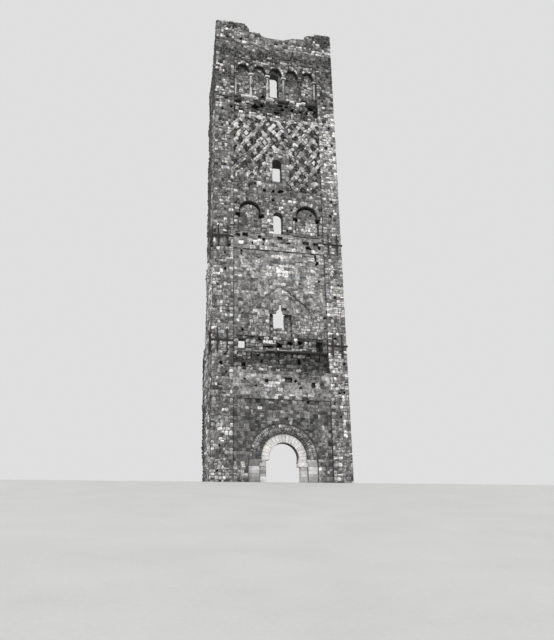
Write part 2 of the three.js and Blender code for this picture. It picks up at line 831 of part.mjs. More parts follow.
// The origin is at the middle of the foot
const size = new THREE.Box3().setFromObject(minaret);
minaret.position.set(-(size.min.x + size.max.x) / 2, -(size.min.y + size.max.y) / 2, 0);

export default minaret;
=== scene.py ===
"""Looks of a ruined square stone minaret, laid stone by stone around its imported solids."""

import logging
import math
import zlib
from collections.abc import Callable
from dataclasses import dataclass, field, replace
from enum import Enum
from typing import ClassVar

import bmesh
import bpy
import numpy as np
from mathutils import Matrix, Vector, noise
from mathutils.bvhtree import BVHTree


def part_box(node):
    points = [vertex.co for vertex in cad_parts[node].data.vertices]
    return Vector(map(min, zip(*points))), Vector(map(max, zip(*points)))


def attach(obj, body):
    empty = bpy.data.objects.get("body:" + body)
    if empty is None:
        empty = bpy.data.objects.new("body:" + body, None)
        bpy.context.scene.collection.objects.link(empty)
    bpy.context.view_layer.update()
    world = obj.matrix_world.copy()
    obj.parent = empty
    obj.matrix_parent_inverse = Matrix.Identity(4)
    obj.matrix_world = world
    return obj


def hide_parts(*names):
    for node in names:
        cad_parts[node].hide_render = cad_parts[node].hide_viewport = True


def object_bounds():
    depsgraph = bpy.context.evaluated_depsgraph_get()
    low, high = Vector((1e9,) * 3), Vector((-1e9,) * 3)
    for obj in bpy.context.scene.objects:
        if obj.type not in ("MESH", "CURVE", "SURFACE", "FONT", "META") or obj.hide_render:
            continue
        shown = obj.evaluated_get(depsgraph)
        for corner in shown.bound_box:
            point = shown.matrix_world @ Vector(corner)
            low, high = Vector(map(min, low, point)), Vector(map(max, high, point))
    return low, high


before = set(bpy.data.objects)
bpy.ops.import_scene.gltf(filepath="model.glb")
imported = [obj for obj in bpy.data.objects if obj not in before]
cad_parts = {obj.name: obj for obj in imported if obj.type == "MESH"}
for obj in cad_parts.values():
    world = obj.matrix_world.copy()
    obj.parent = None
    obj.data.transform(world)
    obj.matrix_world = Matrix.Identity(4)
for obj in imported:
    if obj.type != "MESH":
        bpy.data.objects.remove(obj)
CAD_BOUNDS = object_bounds()
LOG = logging.getLogger("minaret")

Random = np.random.Generator
Socket = bpy.types.NodeSocket
Pair = tuple[float, float]
Triple = tuple[float, float, float]
Faces = list[tuple[int, ...]]
Mapping = Callable[[np.ndarray], np.ndarray]

ROOT = "root"
TINT = "tint"
MIX_FIRST, MIX_SECOND, MIX_RESULT = 6, 7, 2
WARM_GREY = np.array([1.02, 1.0, 0.97])
FORWARD = Vector((0, -1, 0))
BACKWARD = Vector((0, 1, 0))
FRONT_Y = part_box("left_wall_foot")[0].y
AXIS_X = (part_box("portal_spandrel")[0].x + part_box("portal_spandrel")[1].x) / 2


def seeded(name: str) -> Random:
    """Gives a random source that depends only on a name."""
    return np.random.default_rng(zlib.crc32(name.encode()))


def show(name: str, data: bpy.types.ID) -> bpy.types.Object:
    """Makes an object of some data and links it to the scene.

    Args:
        name: its name.
        data: the mesh, light or camera that it shows.

    Returns:
        The object.
    """
    made = bpy.data.objects.new(name, data)
    bpy.context.scene.collection.objects.link(made)
    return made


def surface_of(node: str) -> BVHTree:
    """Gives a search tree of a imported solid's faces."""
    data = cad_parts[node].data
    return BVHTree.FromPolygons([v.co for v in data.vertices], [tuple(p.vertices) for p in data.polygons])


def welded(node: str) -> bmesh.types.BMesh:
    """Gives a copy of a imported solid's mesh with its doubled corners joined.

    Args:
        node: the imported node.

    Returns:
        The mesh, which the caller frees.
    """
    mesh = bmesh.new()
    mesh.from_mesh(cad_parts[node].data)
    bmesh.ops.remove_doubles(mesh, verts=mesh.verts, dist=1e-5)
    return mesh


def hoop_faces(sides: int, steps: int = 1) -> Faces:
    """Gives the faces that join rings of points.

    Args:
        sides: the number of points in each ring.
        steps: the number of bands between rings.

    Returns:
        Four-sided faces, band by band.
    """
    faces = []
    for low in range(0, steps * sides, sides):
        high = low + sides
        for side in range(sides):
            turned = (side + 1) % sides
            faces.append((low + side, low + turned, high + turned, high + side))
    return faces


class Slot(Enum):
    """The record's material slots."""

    RUBBLE = "rubble_stone"
    DRESSED = "dressed_stone"
    PALE = "pale_stone"
    IRON = "iron"


class Graph:
    """A material's node tree, built by short calls."""

    def __init__(self, name: str) -> None:
        """Starts an empty material of that name.

        Args:
            name: the material's name.
        """
        self.material = bpy.data.materials.new(name)
        self.material.use_nodes = True
        self.tree = self.material.node_tree
        self.tree.nodes.clear()
        self.shader = self.node("BsdfPrincipled", {})
        self.node("OutputMaterial", {"Surface": self.shader.outputs["BSDF"]})
        self.place = self.node("TexCoord", {}).outputs["Object"]

    def node(self, kind: str, inputs: dict[str | int, object], **modes: str) -> bpy.types.Node:
        """Adds a node.

        Args:
            kind: its type, without the words that every shader node's type begins with.
            inputs: a value or a socket for each input.
            modes: the settings that choose what the node does.

        Returns:
            The node.
        """
        node = self.tree.nodes.new("ShaderNode" + kind)
        for name, mode in modes.items():
            setattr(node, name, mode)
        self.feed(node, inputs)
        return node

    def feed(self, node: bpy.types.Node, inputs: dict[str | int, object]) -> None:
        """Sets a node's inputs to values, or links them to sockets.

        Args:
            node: the node.
            inputs: a value or a socket for each input.
        """
        for name, value in inputs.items():
            if isinstance(value, Socket):
                self.tree.links.new(value, node.inputs[name])
            else:
                node.inputs[name].default_value = value

    def stretch(self, scale: Triple) -> Socket:
        """Gives object coordinates stretched along each axis."""
        return self.node("Mapping", {"Vector": self.place, "Scale": scale}).outputs["Vector"]

    def noise(self, scale: float, detail: float, rough: float = 0.55, vector: Socket | None = None) -> Socket:
        """Adds a noise texture of some features a metre, and gives its factor socket."""
        inputs = {"Vector": vector or self.place, "Scale": scale, "Detail": detail, "Roughness": rough}
        return self.node("TexNoise", inputs).outputs["Fac"]

    def pores(self, scale: float) -> Socket:
        """Adds a Voronoi texture and gives its distance socket."""
        return self.node("TexVoronoi", {"Vector": self.place, "Scale": scale}).outputs["Distance"]

    def spread(self, source: Socket, low: float, high: float, to_low: float, to_high: float) -> Socket:
        """Maps a range of values on to another range, clamped."""
        ends = {"From Min": low, "From Max": high, "To Min": to_low, "To Max": to_high}
        return self.node("MapRange", {"Value": source, **ends}).outputs["Result"]

    def times(self, first: Socket, second: Socket) -> Socket:
        """Multiplies two values."""
        return self.node("Math", {0: first, 1: second}, operation="MULTIPLY").outputs[0]

    def shade(self, colour: Socket, factor: Socket) -> Socket:
        """Multiplies a colour by a value."""
        return self.node("VectorMath", {0: colour, "Scale": factor}, operation="SCALE").outputs[0]

    def vary(self, colour: Socket, source: Socket, share: float, low: float = 0.3,
             high: float = 0.7) -> Socket:
        """Makes a colour darker where a value is low and paler where it is high, each by a share."""
        return self.shade(colour, self.spread(source, low, high, 1 - share, 1 + share))

    def blend(self, factor: Socket, first: Socket, second: Triple) -> Socket:
        """Mixes a colour socket towards a fixed colour."""
        inputs = {"Factor": factor, MIX_FIRST: first, MIX_SECOND: (*second, 1.0)}
        return self.node("Mix", inputs, data_type="RGBA").outputs[MIX_RESULT]

    def weather(self, colour: Socket, blotch: float, pits: float, chips: float) -> Socket:
        """Stains a colour in blotches, dark pits and pale chips that run on over stones and mortar.

        Args:
            colour: the colour to stain.
            blotch: how strong the broad blotches are.
            pits: how much darker a pit is.
            chips: how much paler a chip is.

        Returns:
            The stained colour.
        """
        broad = self.noise(3.4, 5.0, 0.64)
        small = self.noise(8.5, 4.0, 0.62)
        colour = self.vary(colour, broad, blotch, 0.34, 0.66)
        colour = self.shade(colour, self.spread(small, 0.59, 0.67, 1.0, 1 - pits))
        return self.shade(colour, self.spread(small, 0.33, 0.41, 1 + chips, 1.0))

    def tint(self) -> Socket:
        """Reads the tint that each vertex carries."""
        return self.node("Attribute", {}, attribute_name=TINT).outputs["Color"]

    def bump(self, heights: list[tuple[Socket, float]], strength: float) -> None:
        """Stacks bumps on the shader.

        Args:
            heights: height sockets, each with its depth in metres.
            strength: how strongly all of them show.
        """
        below: dict[str, Socket] = {}
        for height, depth in heights:
            node = self.node("Bump", {"Strength": strength, "Distance": depth, "Height": height, **below})
            below = {"Normal": node.outputs["Normal"]}
        self.feed(self.shader, below)

    def finish(self, colour: Socket, rough: Socket, metal: float = 0.0) -> bpy.types.Material:
        """Joins colour and roughness to the shader and gives the material."""
        self.feed(self.shader, {"Base Color": colour, "Roughness": rough, "Metallic": metal})
        return self.material


@dataclass(frozen=True)
class StoneFinish:
    """Weathered stone: the tint of each stone, grain, pores, run-off streaks and lichen."""

    name: str
    mottle: float = 0.25
    blotch: float = 0.58
    pits: float = 0.75
    chips: float = 0.85
    grain: float = 0.2
    streak: float = 0.14
    lichen: float = 0.3
    relief: float = 0.6

    def build(self) -> bpy.types.Material:
        """Makes the material.

        Returns:
            The material.
        """
        graph = Graph(self.name)
        mottling = graph.noise(5.5, 5.0)
        grain = graph.noise(38.0, 4.0, 0.65)
        fine = graph.noise(150.0, 2.0)
        pores = graph.pores(46.0)
        runs = graph.noise(2.2, 4.0, 0.6, graph.stretch((2.4, 2.4, 0.28)))
        colour = graph.vary(graph.tint(), mottling, self.mottle)
        colour = graph.weather(colour, self.blotch, self.pits, self.chips)
        colour = graph.vary(colour, grain, self.grain)
        colour = graph.vary(colour, runs, self.streak, 0.35, 0.65)
        colour = graph.shade(colour, graph.spread(pores, 0.0, 0.16, 0.62, 1.0))
        patches = graph.spread(graph.noise(1.7, 6.0, 0.7), 0.56, 0.66, 0.0, 1.0)
        growth = graph.times(patches, graph.spread(grain, 0.45, 0.6, 0.0, self.lichen))
        colour = graph.blend(growth, colour, (0.5, 0.49, 0.46))
        graph.bump([(mottling, 0.02), (grain, 0.008), (pores, 0.006), (fine, 0.002)], self.relief)
        return graph.finish(colour, graph.spread(grain, 0.2, 0.8, 0.82, 1.0))


@dataclass(frozen=True)
class MortarFinish:
    """The bed between the stones: crumbling lime mortar and small chips."""

    name: str
    crumble: float = 0.35

    def build(self) -> bpy.types.Material:
        """Makes the material.

        Returns:
            The material.
        """
        graph = Graph(self.name)
        lumps = graph.pores(17.0)
        crumbs = graph.noise(30.0, 6.0, 0.7)
        broad = graph.noise(2.4, 4.0)
        colour = graph.vary(graph.tint(), crumbs, 0.3)
        colour = graph.vary(colour, lumps, -self.crumble, 0.1, 0.55)
        colour = graph.vary(colour, broad, 0.15, 0.35, 0.65)
        colour = graph.weather(colour, 0.58, 0.75, 0.85)
        graph.bump([(lumps, 0.03), (crumbs, 0.015)], 0.8)
        return graph.finish(colour, graph.spread(crumbs, 0.2, 0.8, 0.9, 1.0))


@dataclass(frozen=True)
class IronFinish:
    """Rusted wrought iron, dark, with paler scale."""

    name: str

    def build(self) -> bpy.types.Material:
        """Makes the material.

        Returns:
            The material.
        """
        graph = Graph(self.name)
        scale = graph.noise(24.0, 6.0, 0.65)
        pits = graph.pores(60.0)
        scaled = graph.spread(scale, 0.45, 0.62, 0.0, 0.85)
        colour = graph.blend(scaled, graph.tint(), (0.075, 0.055, 0.042))
        colour = graph.shade(colour, graph.spread(pits, 0.0, 0.3, 0.55, 1.0))
        graph.bump([(scale, 0.004), (pits, 0.002)], 0.7)
        return graph.finish(colour, graph.spread(scale, 0.3, 0.7, 0.6, 0.9), 0.35)


@dataclass(frozen=True)
class FloorFinish:
    """A plain pale studio floor with a faint grain."""

    name: str

    def build(self) -> bpy.types.Material:
        """Makes the material.

        Returns:
            The material.
        """
        graph = Graph(self.name)
        cloud = graph.noise(0.4, 3.0)
        grain = graph.noise(9.0, 3.0)
        pale = graph.node("RGB", {}).outputs[0]
        pale.default_value = (0.62, 0.62, 0.61, 1.0)
        colour = graph.vary(graph.vary(pale, cloud, 0.03), grain, 0.02)
        graph.bump([(grain, 0.002)], 0.2)
        return graph.finish(colour, graph.spread(cloud, 0.3, 0.7, 0.85, 0.95))


class Quarry:
    """All the finishes, each built once."""

    def __init__(self) -> None:
        """Builds every material."""
        self.rubble = StoneFinish("rubble_stone_weathered").build()
        self.dressed = StoneFinish("dressed_stone_weathered", blotch=0.48, lichen=0.12, relief=0.45).build()
        self.pale = StoneFinish("pale_stone_weathered", mottle=0.15, blotch=0.12, pits=0.25, chips=0.1,
                                grain=0.12, streak=0.12, lichen=0.1, relief=0.4).build()
        self.mortar = MortarFinish("lime_mortar_bed").build()
        self.iron = IronFinish("rusted_iron").build()
        self.floor = FloorFinish("studio_floor").build()

    def stones(self) -> list[bpy.types.Material]:
        """Gives the finishes of a wall, in the order that its faces count them in."""
        return [self.rubble, self.dressed, self.pale, self.mortar]


@dataclass
class Pile:
    """Vertices, faces and tints that gather into one mesh."""

    points: list[np.ndarray] = field(default_factory=list)
    tints: list[np.ndarray] = field(default_factory=list)
    faces: Faces = field(default_factory=list)
    finishes: list[int] = field(default_factory=list)
    count: int = 0

    def add(self, points: np.ndarray, faces: Faces, tint: np.ndarray, finish: int = 2) -> None:
        """Adds a small mesh.

        Args:
            points: its vertices, n by 3.
            faces: its faces, as tuples of indices into points.
            tint: one colour for all of it, or one for each vertex.
            finish: the index of its material on the piece, pale stone if none is given.
        """
        base = self.count
        self.points.append(points)
        self.tints.append(np.broadcast_to(tint, (len(points), 3)))
        self.faces.extend([tuple(i + base for i in face) for face in faces])
        self.finishes.extend([finish] * len(faces))
        self.count += len(points)

    def build(self, name: str, materials: list[bpy.types.Material]) -> bpy.types.Object:
        """Makes the object from everything gathered.

        Args:
            name: its name.
            materials: its materials, in the order that its faces count them in.

        Returns:
            The object.
        """
        mesh = bpy.data.meshes.new(name)
        mesh.from_pydata(np.concatenate(self.points).tolist(), [], self.faces)
        mesh.polygons.foreach_set("material_index", np.array(self.finishes, np.int32))
        colours = np.ones((self.count, 4), np.float32)
        colours[:, :3] = np.concatenate(self.tints)
        layer = mesh.attributes.new(TINT, "FLOAT_COLOR", "POINT")
        layer.data.foreach_set("color", colours.ravel())
        for material in materials:
            mesh.materials.append(material)
        mesh.update()
        return show(name, mesh)


@dataclass(frozen=True)
class Masonry:
    """One way of laying stones: their sizes, joints, faces and tones."""

    length: Pair = (0.14, 0.37)
    joint: float = 0.034
    proud: Pair = (0.008, 0.06)
    jitter: float = 0.026
    corner: float = 0.36
    crown: float = 0.014
    stack: float = 0.3
    tone: float = 0.27
    contrast: float = 0.42
    dark_share: float = 0.08
    pale_share: float = 0.05
    lost: float = 0.04
    depth: Pair = (0.12, 0.3)
    bed: float = 0.78
    finish: int = 0


class Bond(Enum):
    """The kinds of masonry on the tower."""

    RUBBLE = Masonry()
    DRESSED = Masonry(length=(0.16, 0.4), joint=0.016, proud=(0.006, 0.022), jitter=0.009, corner=0.16,
                      crown=0.005, stack=0.25, tone=0.145, dark_share=0.07, lost=0.02, depth=(0.08, 0.14),
                      bed=0.85, finish=1)
    PALE = Masonry(length=(0.4, 0.8), joint=0.01, proud=(0.006, 0.012), jitter=0.004, corner=0.07,
                   crown=0.003, stack=0.0, tone=0.5, contrast=0.14, dark_share=0.0, pale_share=0.0, lost=0.0,
                   bed=0.7, finish=2)
    RAGGED = Masonry(length=(0.16, 0.4), joint=0.04, proud=(0.005, 0.1), jitter=0.024, corner=0.32,
                     crown=0.02, stack=0.35, tone=0.25, contrast=0.62, dark_share=0.2, pale_share=0.18,
                     lost=0.09, bed=0.4)
    WASHED = Masonry(length=(0.2, 0.5), joint=0.022, proud=(0.005, 0.028), jitter=0.022, crown=0.008,
                     stack=0.2, tone=0.243, contrast=0.34, dark_share=0.06, pale_share=0.03, bed=1.35)
    INNER = Masonry(length=(0.26, 0.62), joint=0.03, proud=(0.005, 0.06), jitter=0.018, corner=0.28,
                    crown=0.016, stack=0.15, tone=0.17, contrast=0.45, lost=0.03, bed=0.6)


@dataclass(frozen=True)
class Patch:
    """A soft-edged area of the front that is darker or paler than the rest: most are stains and tone, some
    are painted shade.
    """

    x: float
    z: float
    half_width: float
    half_height: float
    gain: float
    least_depth: float = -1.0


@dataclass(frozen=True)
class Cavity:
    """A hole where stone has fallen out of the front, round (x, z)."""

    x: float
    z: float
    width: float
    height: float
    depth: float = 0.3
    brink: ClassVar[float] = 0.05

    def holds(self, x: float, z: float) -> bool:
        """Tells whether a place on the front lies in the hole or on its brink."""
        beside = abs(x - self.x) < self.width / 2 + self.brink
        return beside and abs(z - self.z) < self.height / 2 + self.brink


# Each row: middle across and up, half the width and height, gain, and the least depth where it has one.
FRONT_STAIN_AND_SHADE_PATCHES = tuple(Patch(*row) for row in (
    # The portal and the piers beside it.
    (1.45, 0.65, 0.25, 0.6, 1.65), (3.1, 0.7, 0.5, 0.7, 1.5), (2.1, 0.8, 0.35, 0.8, 0.8),
    (-2.1, 0.8, 0.55, 0.9, 0.48), (-4.5, 0.9, 0.7, 0.8, 1.35), (-2.9, 0.9, 0.5, 0.8, 1.85),
    (4.3, 1.3, 1.0, 1.1, 1.35), (-2.1, 2.7, 0.9, 0.9, 0.7), (2.2, 2.7, 0.9, 0.9, 1.3),
    (-4.3, 3.0, 0.7, 2.2, 1.27),
    # The wall above the portal.
    (1.7, 6.3, 0.5, 0.3, 1.3), (-3.3, 6.3, 0.3, 0.5, 0.65), (-2.0, 6.5, 0.35, 0.45, 0.6),
    (0.1, 6.5, 0.5, 0.35, 1.35), (0.0, 6.7, 3.1, 0.7, 1.45), (3.0, 6.9, 0.4, 0.5, 0.6),
    (-0.9, 7.2, 0.6, 0.45, 1.5), (-2.9, 7.35, 0.6, 0.3, 1.5),
    # The corbel zone, the ledge and the small windows; the broad dark rows under the ledge paint its shadow
    # together with the stain there.
    (1.5, 7.5, 0.5, 0.35, 0.5), (-2.0, 7.6, 1.0, 0.5, 1.25), (4.4, 7.6, 0.9, 1.6, 2.35),
    (0.3, 7.65, 0.6, 0.35, 0.5), (-2.0, 7.75, 0.4, 0.3, 0.5), (2.6, 7.95, 1.0, 0.8, 0.28),
    (-4.3, 8.0, 0.7, 1.6, 1.13), (-1.1, 8.1, 0.6, 0.25, 2.0), (-3.2, 8.1, 0.35, 0.3, 1.7),
    (0.9, 8.15, 0.35, 0.2, 1.7), (-2.6, 8.55, 0.6, 0.6, 0.6), (0.3, 8.75, 3.4, 0.6, 0.37),
    (1.7, 9.12, 0.65, 0.12, 2.6), (-0.75, 10.2, 0.6, 0.45, 1.7), (-2.8, 10.38, 0.6, 0.14, 0.35),
    # The balcony storey and its string band; the rows with a least depth paint shade in the door surround's
    # reveal and sockets, and the two dark rows at the niche sills paint the dark crease line there, shade and
    # joint together.
    (2.4, 11.6, 1.1, 0.8, 1.5), (-2.2, 11.6, 1.1, 0.8, 1.12), (-0.7, 11.6, 0.16, 0.9, 0.4, 0.2),
    (0.42, 11.9, 0.1, 0.8, 0.2, 0.2), (0.8, 12.05, 0.3, 0.2, 0.25, 0.2),
    (-0.65, 12.1, 0.3, 0.25, 0.3, 0.2), (0.36, 12.6, 0.2, 0.4, 0.3), (0.4, 13.6, 1.3, 1.0, 1.15),
    (4.4, 14.0, 0.8, 2.6, 1.95), (0.1, 14.1, 3.6, 0.9, 1.45), (-4.3, 14.2, 0.7, 2.4, 1.32),
    (0.3, 16.2, 3.4, 1.2, 1.74), (-4.3, 16.6, 0.8, 1.0, 1.25), (0.0, 17.95, 3.4, 0.5, 2.75),
    (-2.4, 18.85, 1.3, 0.14, 0.35), (2.35, 18.85, 1.45, 0.14, 0.35),
    # The window storey.
    (2.3, 19.9, 0.8, 0.9, 1.33), (-2.25, 20.0, 0.8, 0.9, 0.88),
    # The lattice.
    (0.1, 22.45, 0.7, 0.35, 0.45), (1.0, 22.9, 1.2, 1.0, 0.8), (-2.25, 23.9, 1.3, 1.9, 0.54),
    (2.25, 24.0, 1.3, 1.9, 0.65), (-4.3, 25.5, 0.7, 3.5, 0.9), (4.4, 26.5, 0.8, 4.5, 2.08),
    # The band of cavities and the arcade; the row with a least depth paints shade in the arcade's arch heads.
    (4.4, 30.0, 0.8, 1.2, 1.3), (0.2, 30.3, 3.6, 0.6, 0.85), (2.95, 31.5, 0.9, 0.55, 0.4),
    (-1.05, 31.7, 0.35, 0.45, 0.4), (4.1, 31.9, 0.45, 0.3, 0.35), (-3.9, 32.3, 0.3, 0.5, 0.5),
    (4.7, 32.6, 0.4, 0.35, 2.0), (-4.2, 33.0, 0.7, 1.6, 0.6), (4.4, 33.0, 0.7, 1.6, 0.66),
    (0.0, 33.75, 3.4, 0.5, 0.64, 0.3), (4.75, 33.8, 0.3, 0.5, 0.35), (4.0, 33.9, 0.3, 0.3, 2.2),
    (0.0, 34.0, 3.6, 0.55, 0.7), (-4.5, 34.2, 0.35, 0.5, 1.7),
    # The crown.
    (-4.2, 35.1, 0.9, 0.6, 0.6), (4.4, 35.2, 0.9, 1.0, 0.5), (4.65, 35.4, 0.45, 0.8, 0.4),
    (0.0, 35.45, 5.6, 0.6, 0.26), (-1.5, 35.9, 0.8, 0.2, 1.7), (3.8, 36.75, 0.9, 0.35, 1.8),
    (-4.1, 37.5, 0.8, 0.35, 1.7), (-2.9, 37.6, 0.3, 0.3, 2.0), (4.45, 37.85, 0.7, 0.75, 0.12),
    (-4.8, 38.0, 0.35, 0.7, 0.5), (-4.3, 38.05, 0.3, 0.25, 2.0), (3.5, 38.15, 0.4, 0.3, 0.3),
    (-2.7, 38.2, 0.5, 0.35, 0.5), (-3.7, 38.4, 1.3, 0.3, 0.25),
))

# Each row: middle across and up, width and height, and the depth where it is not the usual one.
FRONT_CAVITIES = tuple(Cavity(*row) for row in (
    (0.52, 7.32, 0.62, 0.4, 0.45), (1.02, 7.2, 0.3, 0.3), (-1.08, 7.16, 0.32, 0.26),
    (2.36, 6.96, 0.34, 0.5, 0.4), (1.4, 6.74, 0.3, 0.26), (-3.1, 8.6, 0.5, 0.3), (-2.7, 8.35, 0.4, 0.4),
    (-1.9, 8.8, 0.5, 0.4), (1.4, 8.7, 0.3, 0.5), (4.75, 8.65, 0.26, 0.26), (4.65, 6.5, 0.24, 0.22),
    (-4.0, 7.7, 0.24, 0.24), (-4.1, 9.0, 0.22, 0.2), (-0.06, 9.87, 0.6, 0.42, 0.4),
    (0.78, 10.08, 0.45, 0.36, 0.4), (1.5, 10.16, 0.42, 0.42, 0.4), (3.25, 9.08, 0.42, 0.3),
    (-1.5, 10.3, 0.34, 0.3), (-0.9, 9.75, 0.9, 0.2), (4.2, 10.6, 0.3, 0.26), (-1.15, 18.26, 0.26, 0.26),
    (0.82, 12.06, 0.42, 0.2, 0.25), (-2.0, 17.86, 0.26, 0.24), (-1.17, 17.82, 0.24, 0.22),
    (-3.4, 17.8, 0.28, 0.32), (-0.1, 17.72, 0.26, 0.22), (-3.05, 18.4, 0.6, 0.42, 0.35),
    (-2.45, 18.42, 0.66, 0.42, 0.35), (-1.5, 18.38, 0.42, 0.34), (-1.25, 18.1, 0.3, 0.24),
    (0.1, 18.42, 0.66, 0.42), (0.93, 18.01, 0.46, 0.24), (2.13, 18.15, 0.72, 0.42, 0.35),
    (2.35, 17.82, 0.46, 0.4, 0.35), (2.88, 18.12, 0.62, 0.38, 0.35), (3.25, 17.9, 0.36, 0.3),
    (-3.2, 18.72, 0.42, 0.12, 0.2), (-2.78, 18.7, 0.4, 0.14, 0.2), (-2.38, 18.72, 0.38, 0.11, 0.2),
    (-1.98, 18.7, 0.4, 0.13, 0.2), (-1.55, 18.71, 0.42, 0.1, 0.2), (2.25, 18.71, 2.3, 0.13, 0.2),
    (4.3, 18.85, 0.9, 0.1, 0.15), (3.05, 16.6, 0.36, 0.36), (2.85, 17.0, 0.3, 0.5),
    (1.8, 16.25, 0.3, 0.16), (1.57, 14.77, 0.22, 0.2), (-4.1, 15.6, 0.24, 0.26),
    (-4.45, 15.9, 0.22, 0.18), (3.1, 15.1, 0.24, 0.2), (4.3, 13.9, 0.24, 0.26), (4.3, 15.55, 0.22, 0.22),
    (-4.15, 20.55, 0.22, 0.22), (-4.25, 18.9, 0.24, 0.24), (4.95, 20.8, 0.2, 0.3),
    (0.25, 22.6, 0.44, 0.4), (-0.35, 22.55, 0.3, 0.3), (0.05, 21.9, 0.34, 0.24), (4.4, 22.1, 0.24, 0.24),
    (0.05, 28.0, 0.4, 0.6, 0.35), (2.1, 27.7, 0.4, 0.36), (-3.4, 27.6, 0.24, 0.26),
    (-4.4, 28.1, 0.22, 0.22), (-3.6, 27.15, 0.4, 0.26), (4.5, 29.0, 0.26, 0.3), (4.15, 27.1, 0.24, 0.26),
    (-3.7, 29.95, 0.28, 0.28), (-2.35, 30.62, 0.3, 0.2, 0.35), (-2.08, 30.32, 0.5, 0.4, 0.35),
    (-1.6, 30.5, 0.6, 0.55, 0.35), (-1.12, 30.58, 0.42, 0.42, 0.35), (-1.35, 30.15, 0.5, 0.25, 0.35),
    (-0.3, 30.2, 0.35, 0.3, 0.35), (0.15, 30.08, 0.6, 0.4, 0.35), (0.68, 30.02, 0.5, 0.34, 0.35),
    (0.6, 30.42, 0.42, 0.28, 0.35), (0.45, 30.84, 0.5, 0.34, 0.35), (0.98, 30.8, 0.42, 0.28, 0.35),
    (1.45, 30.55, 0.4, 0.34, 0.35), (1.82, 30.28, 0.4, 0.28, 0.35), (2.2, 30.5, 0.35, 0.3, 0.35),
    (2.4, 30.02, 0.45, 0.3, 0.35), (2.75, 30.4, 0.32, 0.3, 0.35), (3.1, 30.9, 0.5, 0.36, 0.35),
    (3.3, 30.5, 0.3, 0.3, 0.35), (-3.05, 30.75, 0.6, 0.25), (-4.25, 30.9, 1.35, 0.1, 0.15),
    (4.45, 30.8, 0.9, 0.1, 0.15), (-0.95, 31.55, 0.42, 0.5, 0.35), (2.55, 31.55, 0.8, 0.4, 0.3),
    (3.6, 31.7, 0.28, 0.4, 0.3), (4.3, 31.25, 0.3, 0.24), (-4.1, 30.75, 0.4, 0.26),
    (0.15, 36.85, 0.34, 0.26), (-4.05, 37.0, 0.26, 0.34), (-2.9, 36.9, 0.26, 0.26),
    (-3.6, 36.3, 0.34, 0.24), (3.85, 33.55, 0.26, 0.24),
))


def in_cavity(x: float, z: float) -> bool:
    """Tells whether a place on the front lies in one of the named cavities."""
    return any(cavity.holds(x, z) for cavity in FRONT_CAVITIES)


@dataclass(frozen=True)
class Streak:
    """An upright dark streak down both side walls, between two depths and two heights."""

    near: float
    far: float
    foot: float
    head: float
    gain: float


SIDE_STREAKS = (
    Streak(0.25, 0.9, 4.6, 11.5, 0.4),
    Streak(1.4, 1.7, 5.5, 11.0, 0.5),
    Streak(4.1, 6.0, 0.5, 11.0, 0.4),
)


